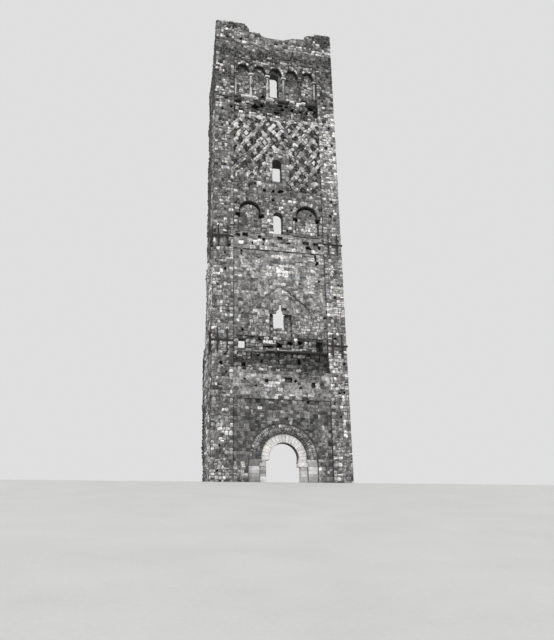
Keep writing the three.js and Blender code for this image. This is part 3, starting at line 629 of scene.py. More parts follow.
@dataclass(frozen=True)
class StainAndShade:
    """Gives each stone its tone from where it is: random clouds and stains, with painted shade and painted
    light on the side walls, on the sides of openings and in some front patches.
    """

    side_x: float = 3.4
    # From here down to low_depth: painted shade on the side walls, dark high up and along the torn edge,
    # paler between.
    dim: float = 0.28
    pale: float = 1.1
    dim_foot: float = 17.2
    dim_depth: float = 1.3
    crown_foot: float = 30.0
    low_head: float = 10.9
    low_depth: float = 3.5
    # Painted shade on the sides of openings and holes above the doorway's head, and painted light on the
    # doorway's reveals below it.
    reveal: float = 0.35
    door_reveal_light: float = 1.5
    door_head: float = 1.7
    broad: Pair = (0.8, 0.6)
    small: Pair = (2.1, 0.8)
    dark: float = 0.42
    bright: float = 1.55
    limits: Pair = (0.02, 0.8)

    def side_shade_gain(self, depth: float, z: float) -> float:
        """Gives the painted shade on a side wall: dark high up and along its torn edge, paler between.

        Args:
            depth: how far behind the front the place lies.
            z: its height above the ground.

        Returns:
            A factor for the tone.
        """
        if z > self.dim_foot:
            return self.dim if depth > self.dim_depth or z > self.crown_foot else 1.0
        if z > self.low_head:
            return self.pale
        return self.dim if depth > self.low_depth else 1.0

    def gain(self, point: np.ndarray, normal: Vector) -> float:
        """Gives how much paler or darker a place is, from random clouds and stains and from painted shade and
        painted light.

        Args:
            point: the place.
            normal: the direction that its face looks in.

        Returns:
            A factor for the tone.
        """
        x, depth, z = point[0], point[1] - FRONT_Y, point[2]
        spot = Vector((float(x), float(depth), float(z)))
        clouds = (share * noise.noise(scale * spot) for scale, share in (self.broad, self.small))
        value = math.exp(sum(clouds))
        # Painted shade on the side walls, with dark streaks down them.
        if abs(x) > self.side_x and depth > 0.15:
            wander = noise.noise(0.7 * spot)
            value *= self.side_shade_gain(depth + 0.6 * wander, z + 1.5 * wander)
            for streak in SIDE_STREAKS:
                if streak.near < depth + 0.2 * wander < streak.far and streak.foot < z + wander < streak.head:
                    value *= streak.gain
        # Sides of openings: painted shade above the doorway's head, painted light on the doorway's reveals.
        elif abs(normal.y) < 0.5:
            value *= self.reveal if z > self.door_head else self.door_reveal_light
        # Front patches: stains and tone, and painted shade in some of them.
        if normal.y < -0.5 and depth < 0.8:
            for patch in (p for p in FRONT_STAIN_AND_SHADE_PATCHES if depth > p.least_depth):
                reach = ((x - patch.x) / patch.half_width) ** 2 + ((z - patch.z) / patch.half_height) ** 2
                value *= 1.0 + (patch.gain - 1.0) * math.exp(-(reach ** 2))
        return value

    def tint(self, point: np.ndarray, normal: Vector, bond: Masonry, draw: Random) -> np.ndarray:
        """Gives one stone's tint, with its own chance of being dark or pale.

        Args:
            point: the stone's place.
            normal: the direction that its face looks in.
            bond: the kind of masonry.
            draw: the random source.

        Returns:
            The stone's colour.
        """
        tone = bond.tone * self.gain(point, normal) * math.exp(draw.normal(0.0, bond.contrast))
        chance = draw.random()
        if chance < bond.dark_share:
            tone *= self.dark
        elif chance > 1.0 - bond.pale_share:
            tone *= self.bright
        tone = min(max(tone, self.limits[0]), self.limits[1])
        warmth = draw.normal(0.015, 0.012)
        return np.array([tone * (1.0 + warmth), tone, tone * (1.0 - 1.6 * warmth)])


STAIN_AND_SHADE = StainAndShade()


class Solids:
    """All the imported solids, for asking whether a place is in stone or in the open air."""

    def __init__(self) -> None:
        """Gathers every node's faces into one search tree."""
        points: list[Vector] = []
        faces: Faces = []
        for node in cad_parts.values():
            base = len(points)
            points.extend(v.co.copy() for v in node.data.vertices)
            faces.extend(tuple(base + i for i in p.vertices) for p in node.data.polygons)
        self.tree = BVHTree.FromPolygons(points, faces)

    def inside(self, point: Vector, towards: Vector) -> bool:
        """Tells whether a point is in a solid, by the face that a ray from it meets first."""
        place, normal, _, _ = self.tree.ray_cast(point, towards)
        return place is not None and normal.dot(towards) > 0.0


SOLIDS = Solids()

# Near black painted shade inside the holes cut in a wall's core.
HOLE_SHADE_TONE = 0.02
# Black strips of painted shade in the inner corners where the front meets a prouder wall, with the open joint
# there.
NOOK_SHADE_TONE = 0.035
NOOK_SHADE_STRIP = Masonry(joint=0.0, proud=(0.002, 0.005), jitter=0.008, corner=0.0, crown=0.0, finish=3)
OUTLINE = 8
CAP_FACES = [(2 * OUTLINE + i, 2 * OUTLINE + (i + 1) % OUTLINE, 3 * OUTLINE) for i in range(OUTLINE)]
STONE_FACES = hoop_faces(OUTLINE, 2) + CAP_FACES
STONE_ROOT = -0.02
LEAST_BEVEL = 0.012
BEVEL_OF_PROUD = 0.6
BEVEL_OF_SIZE = 0.3
EDGE_DROP = 0.7
LEAST_EDGE = 0.001
LEVEL_PROUD = 0.02
LEAN = 0.03


@dataclass(frozen=True)
class Rect:
    """A stone's place on its face: across, up."""

    left: float
    right: float
    low: float
    high: float

    def reach(self) -> float:
        """Gives the distance from the middle to a corner, with a little to spare."""
        return 0.55 * math.hypot(self.right - self.left, self.high - self.low)

    def inset(self, gap: float) -> "Rect":
        """Gives the place that is left inside a gap all round."""
        return Rect(self.left + gap, self.right - gap, self.low + gap, self.high - gap)

    def outline(self, bond: Masonry, draw: Random) -> np.ndarray:
        """Gives eight points round the stone, anticlockwise, with its corners knocked off.

        Args:
            bond: the kind of masonry.
            draw: the random source.

        Returns:
            The points, 8 by 2.
        """
        width = self.right - self.left
        height = self.high - self.low
        size = min(width, height)
        points = []
        for across, up in ((0, 0), (1, 0), (1, 1), (0, 1)):
            x = self.left + across * width
            y = self.low + up * height
            knock = size * bond.corner * draw.uniform(0.3, 1.0, 2)
            inward = (1 - 2 * across, 1 - 2 * up)
            along = np.array([x + inward[0] * knock[0], y])
            upward = np.array([x, y + inward[1] * knock[1]])
            points.extend([upward, along] if across == up else [along, upward])
        return np.array(points) + draw.normal(0.0, bond.jitter / 2, (OUTLINE, 2))


@dataclass(frozen=True)
class Rubble:
    """A loose, blocky lump of wall core."""

    size: Triple
    blocky: float = 0.55
    knobs: float = 0.12
    turn: float = 0.18
    tip: float = 0.14

    def lay(self, pile: Pile, centre: np.ndarray, tint: np.ndarray, draw: Random) -> None:
        """Adds one lump to the pile.

        Args:
            pile: what it is added to.
            centre: its middle.
            tint: its colour.
            draw: the random source.
        """
        knobs = 1.0 + draw.normal(0.0, self.knobs, (len(BALL_POINTS), 1))
        turn = Matrix.Rotation(draw.normal(0.0, self.turn), 3, "Z")
        turn = turn @ Matrix.Rotation(draw.normal(0.0, self.tip), 3, "X")
        scaled = block(self.blocky) * knobs * np.array(self.size) / 2
        pile.add(scaled @ np.array(turn).T + centre, BALL_FACES, tint, 0)


def ball() -> tuple[np.ndarray, Faces]:
    """Gives the vertices and faces of a unit ball.

    Returns:
        Its vertices, n by 3, and its faces.
    """
    mesh = bmesh.new()
    bmesh.ops.create_icosphere(mesh, subdivisions=2, radius=1.0)
    points = np.array([v.co for v in mesh.verts])
    faces = [tuple(v.index for v in f.verts) for f in mesh.faces]
    mesh.free()
    return points, faces


BALL_POINTS, BALL_FACES = ball()


def block(power: float) -> np.ndarray:
    """Gives the ball's points, pressed towards a cube by a power below 1."""
    return np.sign(BALL_POINTS) * np.abs(BALL_POINTS) ** power


class CourseBook:
    """The levels of the stone courses, the same all round the tower."""

    storeys = (0.0, 1.2, 1.5, 1.7, 5.86, 7.9, 9.3, 9.43, 10.5, 12.3, 17.38, 18.8, 21.9, 29.5, 31.1, 31.26,
               35.0, 38.9)
    course = 0.262
    sliver = 0.09

    def __init__(self) -> None:
        """Draws the levels between the storeys."""
        draw = seeded("courses")
        self.levels: list[float] = [0.0]
        for low, high in zip(self.storeys, self.storeys[1:]):
            count = max(1, round((high - low) / self.course))
            heights = draw.uniform(0.78, 1.25, count)
            self.levels.extend((low + (high - low) * np.cumsum(heights) / heights.sum()).tolist())

    def between(self, low: float, high: float) -> list[Pair]:
        """Gives the courses between two levels, with slivers joined to their neighbours."""
        inner = [z for z in self.levels if low + self.sliver < z < high - self.sliver]
        return list(zip([low, *inner], [*inner, high]))


COURSES = CourseBook()
MASK_STEP = 0.02
NOOK_GAP = 0.05
PROBE = 0.05
PANEL_DEPTH = 0.08


class WallFace:
    """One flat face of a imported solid, on which stones are laid in courses."""

    def __init__(self, normal: Vector, corners: np.ndarray) -> None:
        """Sets the face up.

        Args:
            normal: its outward direction.
            corners: its triangles, n by 3 by 3.
        """
        self.normal = normal
        self.right = Vector((0, 0, 1)).cross(normal).normalized()
        self.up = normal.cross(self.right).normalized()
        self.origin = np.array(corners[0, 0])
        axes = np.array([self.right, self.up])
        flat = (corners - self.origin) @ axes.T
        self.low = flat.reshape(-1, 2).min(0)
        self.high = flat.reshape(-1, 2).max(0)
        size = self.high - self.low
        self.mask = np.zeros((math.ceil(size[1] / MASK_STEP) + 1, math.ceil(size[0] / MASK_STEP) + 1), bool)
        for triangle in flat:
            self.fill((triangle - self.low) / MASK_STEP)

    def fill(self, triangle: np.ndarray) -> None:
        """Marks the cells of the mask that a triangle covers.

        Args:
            triangle: its corners in cells of the mask, 3 by 2.
        """
        first = np.maximum(np.floor(triangle.min(0)).astype(int), 0)
        last = np.ceil(triangle.max(0)).astype(int) + 1
        across, up = np.meshgrid(np.arange(first[0], last[0]) + 0.5, np.arange(first[1], last[1]) + 0.5)
        inside = np.ones(across.shape, bool)
        turn = np.roll(triangle, -1, axis=0)
        area = np.cross(turn[0] - triangle[0], turn[1] - triangle[0])
        for start, end in zip(triangle, turn):
            side = (end[0] - start[0]) * (up - start[1]) - (end[1] - start[1]) * (across - start[0])
            inside &= side * np.sign(area) >= -1e-6
        rows, columns = self.mask.shape
        window = self.mask[first[1]:last[1], first[0]:last[0]]
        window |= inside[:window.shape[0], :window.shape[1]]

    def place(self, rows: np.ndarray) -> np.ndarray:
        """Turns (across, up, out) into points in the row's frame."""
        axes = np.array([self.right, self.up, self.normal])
        return self.origin + rows @ axes

    def level(self, z: float) -> float:
        """Gives how far up the face a height above the ground is."""
        return (z - self.origin[2]) / self.up.z

    def runs(self, low: float, high: float) -> list[Pair]:
        """Gives the stretches of a course that lie wholly on the face.

        Args:
            low: the course's foot, up the face.
            high: its head, up the face.

        Returns:
            Where each stretch begins and ends.
        """
        first = max(int(round((low - self.low[1]) / MASK_STEP)), 0)
        last = min(int(round((high - self.low[1]) / MASK_STEP)), self.mask.shape[0])
        if last - first < 2:
            return []
        full = self.mask[first:last].mean(axis=0) > 0.9
        edges = np.flatnonzero(np.diff(np.concatenate([[False], full, [False]]).astype(int)))
        marks = self.low[0] + edges * MASK_STEP
        return [(float(a), float(b)) for a, b in zip(marks[::2], marks[1::2]) if b - a > 0.07]

    def is_solid(self, row: Triple, towards: Vector) -> bool:
        """Tells whether a place is in stone, by a ray in a direction that leaves the stone."""
        return SOLIDS.inside(Vector(self.place(np.array([row]))[0]), towards)

    def is_open(self, across: float, up: float) -> bool:
        """Tells whether the air is free in front of a place on the face."""
        return not self.is_solid((across, up, 0.002), self.normal)

    def is_corner(self, across: float, up: float) -> bool:
        """Tells whether the air is free just past the face's edge."""
        return not self.is_solid((across, up, -PROBE), self.up)

    def is_nook(self, across: float, up: float) -> bool:
        """Tells whether a prouder wall stands just past the face's edge."""
        return self.is_solid((across, up, 0.02), self.up)


def flat_faces(node: bpy.types.Object, least: float) -> list[WallFace]:
    """Gives a node's upright flat faces.

    Args:
        node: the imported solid.
        least: the smallest area, in square metres.

    Returns:
        The faces, in a fixed order.
    """
    groups: dict[tuple[int, ...], list[bpy.types.MeshPolygon]] = {}
    for polygon in node.data.polygons:
        distance = polygon.normal.dot(polygon.center)
        key = (*(round(c * 200) for c in polygon.normal), round(distance * 500))
        groups.setdefault(key, []).append(polygon)
    faces = []
    for key in sorted(groups):
        members = groups[key]
        if sum(p.area for p in members) < least or abs(members[0].normal.z) > 0.75:
            continue
        corners = np.array([[node.data.vertices[i].co for i in p.vertices] for p in members])
        faces.append(WallFace(members[0].normal.copy(), corners))
    return faces


def split_run(start: float, end: float, bond: Masonry, draw: Random) -> list[Pair]:
    """Divides a stretch of a course into stones of about the right length.

    Args:
        start: where it begins.
        end: where it ends.
        bond: the kind of masonry.
        draw: the random source.

    Returns:
        Where each stone begins and ends.
    """
    mean = sum(bond.length) / 2
    count = max(1, round((end - start) / mean))
    lengths = draw.uniform(*bond.length, count)
    marks = start + (end - start) * np.concatenate([[0.0], np.cumsum(lengths) / lengths.sum()])
    return list(zip(marks[:-1].tolist(), marks[1:].tolist()))


def frontal(y: float) -> WallFace:
    """Gives a face that looks out of the front at some depth, with the ground's own heights."""
    return WallFace(FORWARD, np.array([[(0, y, 0)] * 3]))


def seat(piece: bpy.types.Object, node: str) -> bpy.types.Object:
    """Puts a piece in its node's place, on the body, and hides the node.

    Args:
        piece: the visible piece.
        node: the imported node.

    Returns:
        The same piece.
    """
    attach(piece, ROOT)
    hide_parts(node)
    return piece


@dataclass
class Holes(Pile):
    """The rough plugs that holes are cut with, kept clear of each other."""

    spots: list[tuple[np.ndarray, float]] = field(default_factory=list)

    def is_free(self, spot: np.ndarray, reach: float) -> bool:
        """Tells whether a plug of that reach would stay clear of every plug so far."""
        return all(float(np.linalg.norm(spot - other)) > reach + size for other, size in self.spots)


@dataclass
class Piece:
    """One visible piece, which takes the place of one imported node."""

    node: str
    slot: Slot = field(default=Slot.PALE, kw_only=True)
    pile: Pile = field(default_factory=Pile, init=False)
    draw: Random = field(init=False)
    ending: ClassVar[str] = "masonry"

    def __post_init__(self) -> None:
        """Gives the piece a random source of its own."""
        self.draw = seeded(self.node)

    def join(self, owner: "Piece") -> None:
        """Makes this piece add to another one's pile, with that one's random source."""
        self.pile, self.draw = owner.pile, owner.draw

    def build(self, quarry: Quarry) -> bpy.types.Object:
        """Builds the piece and puts it in its node's place.

        Args:
            quarry: the finishes.

        Returns:
            The visible piece.
        """
        self.fill()
        made = self.pile.build(f"{self.node}_{self.ending}", self.finishes(quarry))
        return seat(made, self.node)

    def finishes(self, quarry: Quarry) -> list[bpy.types.Material]:
        """Gives the piece's materials."""
        return quarry.stones()

    def fill(self) -> None:
        """Gathers the piece's mesh: nothing on a piece of no kind."""

    def dress_more(self) -> None:
        """Adds what this kind of piece has beside its body: nothing on a plain one."""

    def tint(self, centre: np.ndarray, facing: Vector, bond: Masonry) -> np.ndarray:
        """Gives the tint of a stone with its middle at a place."""
        return STAIN_AND_SHADE.tint(centre, facing, bond, self.draw)

    def lay(self, rect: Rect, place: Mapping, bond: Masonry, tint: np.ndarray) -> None:
        """Lays one stone: a rough block with a chamfered, slightly crowned face.

        Args:
            rect: its place on the face.
            place: turns rows of (across, up, out) into points in the row's frame.
            bond: the kind of masonry.
            tint: its colour.
        """
        inner = rect.inset(bond.joint / 2)
        outline = inner.outline(bond, self.draw)
        middle = outline.mean(axis=0)
        size = min(inner.right - inner.left, inner.high - inner.low)
        proud = self.draw.uniform(*bond.proud)
        bevel = min(BEVEL_OF_SIZE * size, LEAST_BEVEL + BEVEL_OF_PROUD * proud)
        tilt = self.draw.normal(0.0, LEAN, 2) * (bond.proud[1] > LEVEL_PROUD)
        lean = (outline - middle) @ tilt
        shrink = 1.0 - bevel / (0.5 * size)
        top = middle + (outline - middle) * shrink
        heights = proud + lean * shrink + self.draw.normal(0.0, bond.crown / 3, OUTLINE)
        edge = np.maximum(heights - bevel * EDGE_DROP, LEAST_EDGE)
        rings = [
            np.column_stack([outline, np.full(OUTLINE, STONE_ROOT)]),
            np.column_stack([outline, edge]),
            np.column_stack([top, heights]),
            np.array([[middle[0], middle[1], heights.mean() + self.draw.uniform(0.0, bond.crown)]]),
        ]
        self.pile.add(place(np.concatenate(rings)), STONE_FACES, tint, bond.finish)


@dataclass
class Wall(Piece):
    """One packed wall, given its bed, its stones and its holes: of rubble if nothing else is said."""

    bond: Bond = Bond.RUBBLE
    slot: Slot = field(default=Slot.RUBBLE, kw_only=True)
    holes: Holes = field(default_factory=Holes, init=False)
    least_face: float = 0.14
    # The chance of a strip of painted shade beside a prouder wall.
    edged: float = 0.8
    uneven: float = 0.0
    # True where the wall's side faces take no painted shade.
    lit: bool = False
    lost_width: Pair = (0.15, 0.27)
    corner_reach: float = 0.02
    front_depth: float = 0.5
    plug_inset: float = 0.012
    plug_head: float = 0.06
    plug_taper: Pair = (0.6, 0.9)
    sunk_from: float = 0.004

    def rects(self, face: WallFace, bond: Masonry) -> list[tuple[Rect, bool, bool]]:
        """Plans the stones of one face, each with whether it turns a corner on its left and right.

        Args:
            face: the face.
            bond: the kind of masonry.

        Returns:
            Each stone's place, and whether it turns the left and the right corner.
        """
        planned = []
        low_z = self.z_of(face, face.low[1])
        high_z = self.z_of(face, face.high[1])
        for z0, z1 in COURSES.between(low_z, high_z):
            low, high = face.level(z0), face.level(z1)
            middle = (low + high) / 2
            for start, end in face.runs(low, high):
                start += NOOK_GAP * face.is_nook(start - PROBE, middle)
                end -= NOOK_GAP * face.is_nook(end + PROBE, middle)
                corners = [face.is_corner(start - PROBE, middle), face.is_corner(end + PROBE, middle)]
                cells = split_run(start, end, bond, self.draw)
                for index, (left, right) in enumerate(cells):
                    ends = (corners[0] and index == 0, corners[1] and index == len(cells) - 1)
                    beds = [low, high]
                    if self.draw.random() < bond.stack and right - left > 0.2:
                        beds.insert(1, low + (high - low) * self.draw.uniform(0.4, 0.6))
                    for foot, head in zip(beds, beds[1:]):
                        planned.append((Rect(left, right, foot, head), *ends))
        return planned

    def z_of(self, face: WallFace, up: float) -> float:
        """Gives the height above the ground of a distance up the face."""
        return float(face.origin[2] + up * face.up.z)

    def cavity_at(self, point: np.ndarray, face: WallFace) -> bool:
        """Tells whether a place on a face lies in one of the front's cavities."""
        near = face.normal.y < -0.9 and point[1] - FRONT_Y < self.front_depth
        return near and in_cavity(point[0], point[2])

    def dress_face(self, face: WallFace) -> None:
        """Lays the stones of one face, and marks the holes where stones are lost.

        Args:
            face: the face.
        """
        bond = self.bond.value
        rear = face.normal.y > 0.5 or (abs(face.normal.x) > 0.5 and face.normal.x * face.origin[0] < 0)
        if rear and bond.finish == 0:
            bond = Bond.INNER.value
        for rect, left_end, right_end in self.rects(face, bond):
            across, up = (rect.left + rect.right) / 2, (rect.low + rect.high) / 2
            centre = face.place(np.array([[across, up, 0.0]]))[0]
            if not face.is_open(across, up) or self.cavity_at(centre, face):
                continue
            fits = self.lost_width[0] < rect.right - rect.left < self.lost_width[1]
            inland = fits and not (left_end or right_end)
            if self.draw.random() < bond.lost and inland and self.holes.is_free(centre, rect.reach()):
                self.mark_hole(face, rect, self.draw.uniform(*bond.depth))
                continue
            reach = self.corner_reach if abs(face.normal.y) > 0.9 else 0.0
            grown = Rect(rect.left - reach * left_end, rect.right + reach * right_end, rect.low, rect.high)
            # Side faces of a lit wall are tinted as if they faced backward, so they take no painted shade.
            facing = BACKWARD if self.lit and abs(face.normal.y) < 0.5 else face.normal
            tint = self.tint(centre, facing, self.bond_at(centre, bond))
            self.lay(grown, face.place, bond, tint)

    def lay_nook_shade(self, face: WallFace) -> None:
        """Lays black strips of painted shade, with the open joint in them, where the front runs in behind a
        prouder wall, beside it or above it.

        Args:
            face: the face.
        """
        if face.normal.y > -0.9:
            return
        dark = NOOK_SHADE_TONE * WARM_GREY
        low_z, high_z = self.z_of(face, face.low[1]), self.z_of(face, face.high[1])
        for z0, z1 in COURSES.between(low_z, high_z):
            low, high = face.level(z0), face.level(z1)
            for start, end in face.runs(low, high):
                middle = (low + high) / 2
                sides = ((start - PROBE, Rect(start, start + NOOK_GAP, low, high)),
                         (end + PROBE, Rect(end - NOOK_GAP, end, low, high)))
                for past, strip in sides:
                    if face.is_nook(past, middle) and self.draw.random() < self.edged:
                        self.lay(strip, face.place, NOOK_SHADE_STRIP, dark)
                if z1 < high_z:
                    continue
                for left, right in split_run(start, end, Bond.RUBBLE.value, self.draw):
                    if face.is_nook((left + right) / 2, high + PROBE):
                        strip = Rect(left, right, high - 1.5 * NOOK_GAP, high + 0.01)
                        self.lay(strip, face.place, NOOK_SHADE_STRIP, dark)

    def bond_at(self, centre: np.ndarray, bond: Masonry) -> Masonry:
        """Gives the masonry whose tone a place has: the face's own, with the wall's own unevenness.

        Args:
            centre: the stone's middle; not used here.
            bond: the face's masonry.

        Returns:
            The masonry.
        """
        contrast = bond.contrast + self.uneven
        tone = bond.tone * math.exp((bond.contrast ** 2 - contrast ** 2) / 2)
        return replace(bond, contrast=contrast, tone=tone)

    def mark_hole(self, face: WallFace, rect: Rect, depth: float) -> None:
        """Adds a rough plug that a hole is cut with.

        Args:
            face: the face that it lies on.
            rect: its place on the face.
            depth: how deep it goes.
        """
        middle = face.place(np.array([[(rect.left + rect.right) / 2, (rect.low + rect.high) / 2, 0.0]]))[0]
        self.holes.spots.append((middle, rect.reach()))
        size = min(rect.right - rect.left, rect.high - rect.low)
        soft = replace(Bond.INNER.value, corner=0.5, jitter=0.02 + 0.2 * size)
        outline = rect.inset(self.plug_inset).outline(soft, self.draw)
        middle = outline.mean(axis=0)
        deep = middle + (outline - middle) * self.draw.uniform(*self.plug_taper)
        rings = np.concatenate([
            np.column_stack([deep, np.full(OUTLINE, -depth)]),
            np.column_stack([outline, np.full(OUTLINE, self.plug_head)]),
        ])
        floor = tuple(reversed(range(OUTLINE)))
        lid = tuple(range(OUTLINE, 2 * OUTLINE))
        self.holes.add(face.place(rings), [*hoop_faces(OUTLINE), floor, lid], np.zeros(3))

    def mark_cavities(self, face: WallFace) -> None:
        """Marks the named cavities that lie on this face.

        Args:
            face: the face.
        """
        if face.normal.y > -0.9 or face.origin[1] - FRONT_Y > self.front_depth:
            return
        for cavity in FRONT_CAVITIES:
            across = (cavity.x - face.origin[0]) * face.right.x
            up = cavity.z - face.origin[2]
            rect = Rect(across - cavity.width / 2, across + cavity.width / 2,
                        up - cavity.height / 2, up + cavity.height / 2)
            corners = np.array([rect.left, rect.low, rect.right, rect.high])
            cells = np.round((corners - np.tile(face.low, 2)) / MASK_STEP).astype(int)
            first_x, first_y, last_x, last_y = cells
            if min(first_x, first_y) < 1 or last_x >= face.mask.shape[1] or last_y >= face.mask.shape[0]:
                continue
            if face.mask[first_y:last_y, first_x:last_x].all() and face.is_open(across, up):
                self.mark_hole(face, rect, cavity.depth)

    def core(self) -> bpy.types.Object:
        """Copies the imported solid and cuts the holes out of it.

        Returns:
            The core.
        """
        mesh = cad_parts[self.node].data.copy()
        clean = welded(self.node)
        clean.to_mesh(mesh)
        clean.free()
        core = show(self.node + "_core", mesh)
        if self.holes.count:
            cutter = self.holes.build(self.node + "_holes", [])
            cut = core.modifiers.new("holes", "BOOLEAN")
            cut.operation = "DIFFERENCE"
            cut.solver = "MANIFOLD"
            cut.object = cutter
            bpy.context.view_layer.update()
            cut_core = core.evaluated_get(bpy.context.evaluated_depsgraph_get())
            result = bpy.data.meshes.new_from_object(cut_core)
            core.modifiers.clear()
            core.data = result
            bpy.data.objects.remove(cutter)
        return core

    def add_core(self) -> None:
        """Adds the cut core to the pile, with painted shade: its holes near black and the sides of its
        openings and holes darker than its bed.
        """
        core = self.core()
        surface = surface_of(self.node)
        points = np.array([v.co for v in core.data.vertices])
        tints = np.empty((len(points), 3))
        bed = self.bond.value.tone * self.bond.value.bed
        for index, vertex in enumerate(core.data.vertices):
            _, _, _, distance = surface.find_nearest(vertex.co)
            # Vertices off the solid's surface lie in a hole and take near black painted shade.
            tints[index] = (bed if distance < self.sunk_from else HOLE_SHADE_TONE) * WARM_GREY
        for sunk in (False, True):
            group = [p for p in core.data.polygons if self.takes_reveal_shade(p) == sunk]
            used = sorted({index for polygon in group for index in polygon.vertices})
            order = {index: place for place, index in enumerate(used)}
            faces = [tuple(order[index] for index in polygon.vertices) for polygon in group]
            self.pile.add(points[used], faces, tints[used] * (STAIN_AND_SHADE.reveal if sunk else 1.0), 3)
        bpy.data.objects.remove(core)

    def takes_reveal_shade(self, polygon: bpy.types.MeshPolygon) -> bool:
        """Tells whether a face of the core is the side of an opening or a hole in the front, which takes
        painted shade.
        """
        flank = abs(polygon.normal.y) < 0.5 and abs(polygon.center.x) < STAIN_AND_SHADE.side_x
        return flank and not self.lit and polygon.center.z > STAIN_AND_SHADE.door_head

    def fill(self) -> None:
        """Lays the wall's stones and cuts its holes."""
        for face in flat_faces(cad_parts[self.node], self.least_face):
            self.mark_cavities(face)
            self.dress_face(face)
            self.lay_nook_shade(face)
        self.dress_more()
        self.add_core()


@dataclass
class BrokenSideWall(Wall):
    """A side wall's storey, whose rear edge is torn through the wall's core."""

    lump_depth: Pair = (0.3, 0.5)
    lump_reach: Pair = (-0.1, 0.01)
    lump_gap: float = 0.03

    def dress_more(self) -> None:
        """Piles core rubble along the torn edge."""
        low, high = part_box(self.node)
        surface = surface_of(self.node)
        for z0, z1 in COURSES.between(low.z, high.z):
            z = (z0 + z1) / 2
            for left, right in split_run(low.x, high.x, Bond.INNER.value, self.draw):
                x = (left + right) / 2
                hit, _, _, _ = surface.ray_cast(Vector((x, high.y + 3.0, z)), FORWARD)
                if hit is None:
                    continue
                deep = self.draw.uniform(*self.lump_depth)
                reach = hit.y + self.draw.uniform(*self.lump_reach)
                width = min((right - left) * self.draw.uniform(0.95, 1.12), right - left - self.lump_gap)
                size = (width, deep, (z1 - z0) * self.draw.uniform(0.95, 1.15))
                centre = np.array([x, min(reach, CAD_BOUNDS[1][1] + 0.02) - deep / 2, z])
                tint = self.tint(centre, BACKWARD, Bond.INNER.value)
                Rubble(size).lay(self.pile, centre, tint, self.draw)


@dataclass
class RaggedBand(Wall):
    """A band of the front whose facing has fallen, leaving lumps and hollows."""

    cover: float = 0.5
    reach: Pair = (0.04, 0.2)
    rooted: float = 0.2
    past_front: float = 0.03

    def dress_more(self) -> None:
        """Scatters lumps over the band's hollow face."""
        low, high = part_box(self.node)
        back = self.hollow_y()
        for z0, z1 in COURSES.between(low.z, high.z):
            for left, right in split_run(low.x, high.x, Bond.RAGGED.value, self.draw):
                if self.draw.random() > self.cover or in_cavity((left + right) / 2, (z0 + z1) / 2):
                    continue
                front = max(back - self.draw.uniform(*self.reach), FRONT_Y - self.past_front)
                size = (right - left, back - front + self.rooted, z1 - z0)
                centre = np.array([(left + right) / 2, front + size[1] / 2, (z0 + z1) / 2])
                tint = self.tint(centre, FORWARD, Bond.RAGGED.value)
                Rubble(size).lay(self.pile, centre, tint, self.draw)

    def hollow_y(self) -> float:
        """Gives where the band's hollow face lies, from front to back."""
        faces = flat_faces(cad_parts[self.node], 1.0)
        return float(max(face.origin[1] for face in faces if face.normal.y < -0.9))


@dataclass
class BrokenTop(Wall):
    """The crown wall or a top storey, whose head is broken off."""

    first: Pair = (0.12, 0.14)
    row: float = 0.3
    loose_width: Pair = (0.22, 0.42)
    loose_depth: Pair = (0.24, 0.36)
    loose_height: Pair = (0.18, 0.4)
    loose_rise: Pair = (-0.24, 0.09)

    def dress_more(self) -> None:
        """Lays loose stones along the broken head."""
        low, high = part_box(self.node)
        surface = surface_of(self.node)
        y = low.y + self.first[1]
        while y < high.y:
            x = low.x + self.first[0]
            while x < high.x - 0.05:
                width = self.draw.uniform(*self.loose_width)
                aside = self.draw.uniform(-0.03, 0.03)
                spot = Vector((min(x + width / 2, high.x - 0.1), y + aside, high.z + 1.0))
                hit, normal, _, _ = surface.ray_cast(spot, Vector((0, 0, -1)))
                if hit is not None and normal.z > 0.2:
                    tall = self.draw.uniform(*self.loose_height)
                    size = (width, self.draw.uniform(*self.loose_depth), tall)
                    rise = min(hit.z + self.draw.uniform(*self.loose_rise), CAD_BOUNDS[1][2] - 0.05)
                    centre = np.array([hit.x, hit.y, rise - tall * 0.25])
                    tint = self.tint(centre, FORWARD, Bond.RUBBLE.value)
                    Rubble(size).lay(self.pile, centre, tint, self.draw)
                x += width
            y += self.row


@dataclass
class TornTopStorey(BrokenSideWall, BrokenTop):
    """A side wall's top storey, torn behind and broken above."""

    def dress_more(self) -> None:
        """Piles rubble on both edges."""
        BrokenSideWall.dress_more(self)
        BrokenTop.dress_more(self)


def polar(centre_x: float, centre_z: float, front_y: float, middle: float) -> Mapping:
    """Gives a mapping for stones laid round an arch.

    Args:
        centre_x: the arch's centre.
        centre_z: its height.
        front_y: the plane of the ring's face.
        middle: the radius at which distances round the ring are measured.

    Returns:
        The mapping, from (round, out from the centre, out of the face).
    """
    def place(rows: np.ndarray) -> np.ndarray:
        """Turns a stone's rows into points.

        Args:
            rows: rows of (round, out from the centre, out of the face).

        Returns:
            Points, n by 3.
        """
        angle = rows[:, 0] / middle
        x = centre_x - rows[:, 1] * np.cos(angle)
        z = centre_z + rows[:, 1] * np.sin(angle)
        return np.column_stack([x, front_y - rows[:, 2], z])

    return place


def round_spot(x: float, z: float, radius: float, angle: float, y: float = FRONT_Y) -> np.ndarray:
    """Gives a place on a circle round (x, z), at an angle from the left over the top to the right."""
    return np.array([x - radius * math.cos(angle), y, z + radius * math.sin(angle)])


@dataclass(frozen=True)
class Circle:
    """A circle in the plane of the front."""

    x: float
    z: float
    radius: float

    def reach(self, x: float, z: float, angle: float) -> float:
        """Gives how far the circle lies from a point inside it.

        Args:
            x: the point's place across.
            z: the point's height.
            angle: the direction, from the left over the top to the right.

        Returns:
            The distance in metres.
        """
        across, up = self.x - x, self.z - z
        along = up * math.sin(angle) - across * math.cos(angle)
        return along + math.sqrt(self.radius**2 + along**2 - across**2 - up**2)


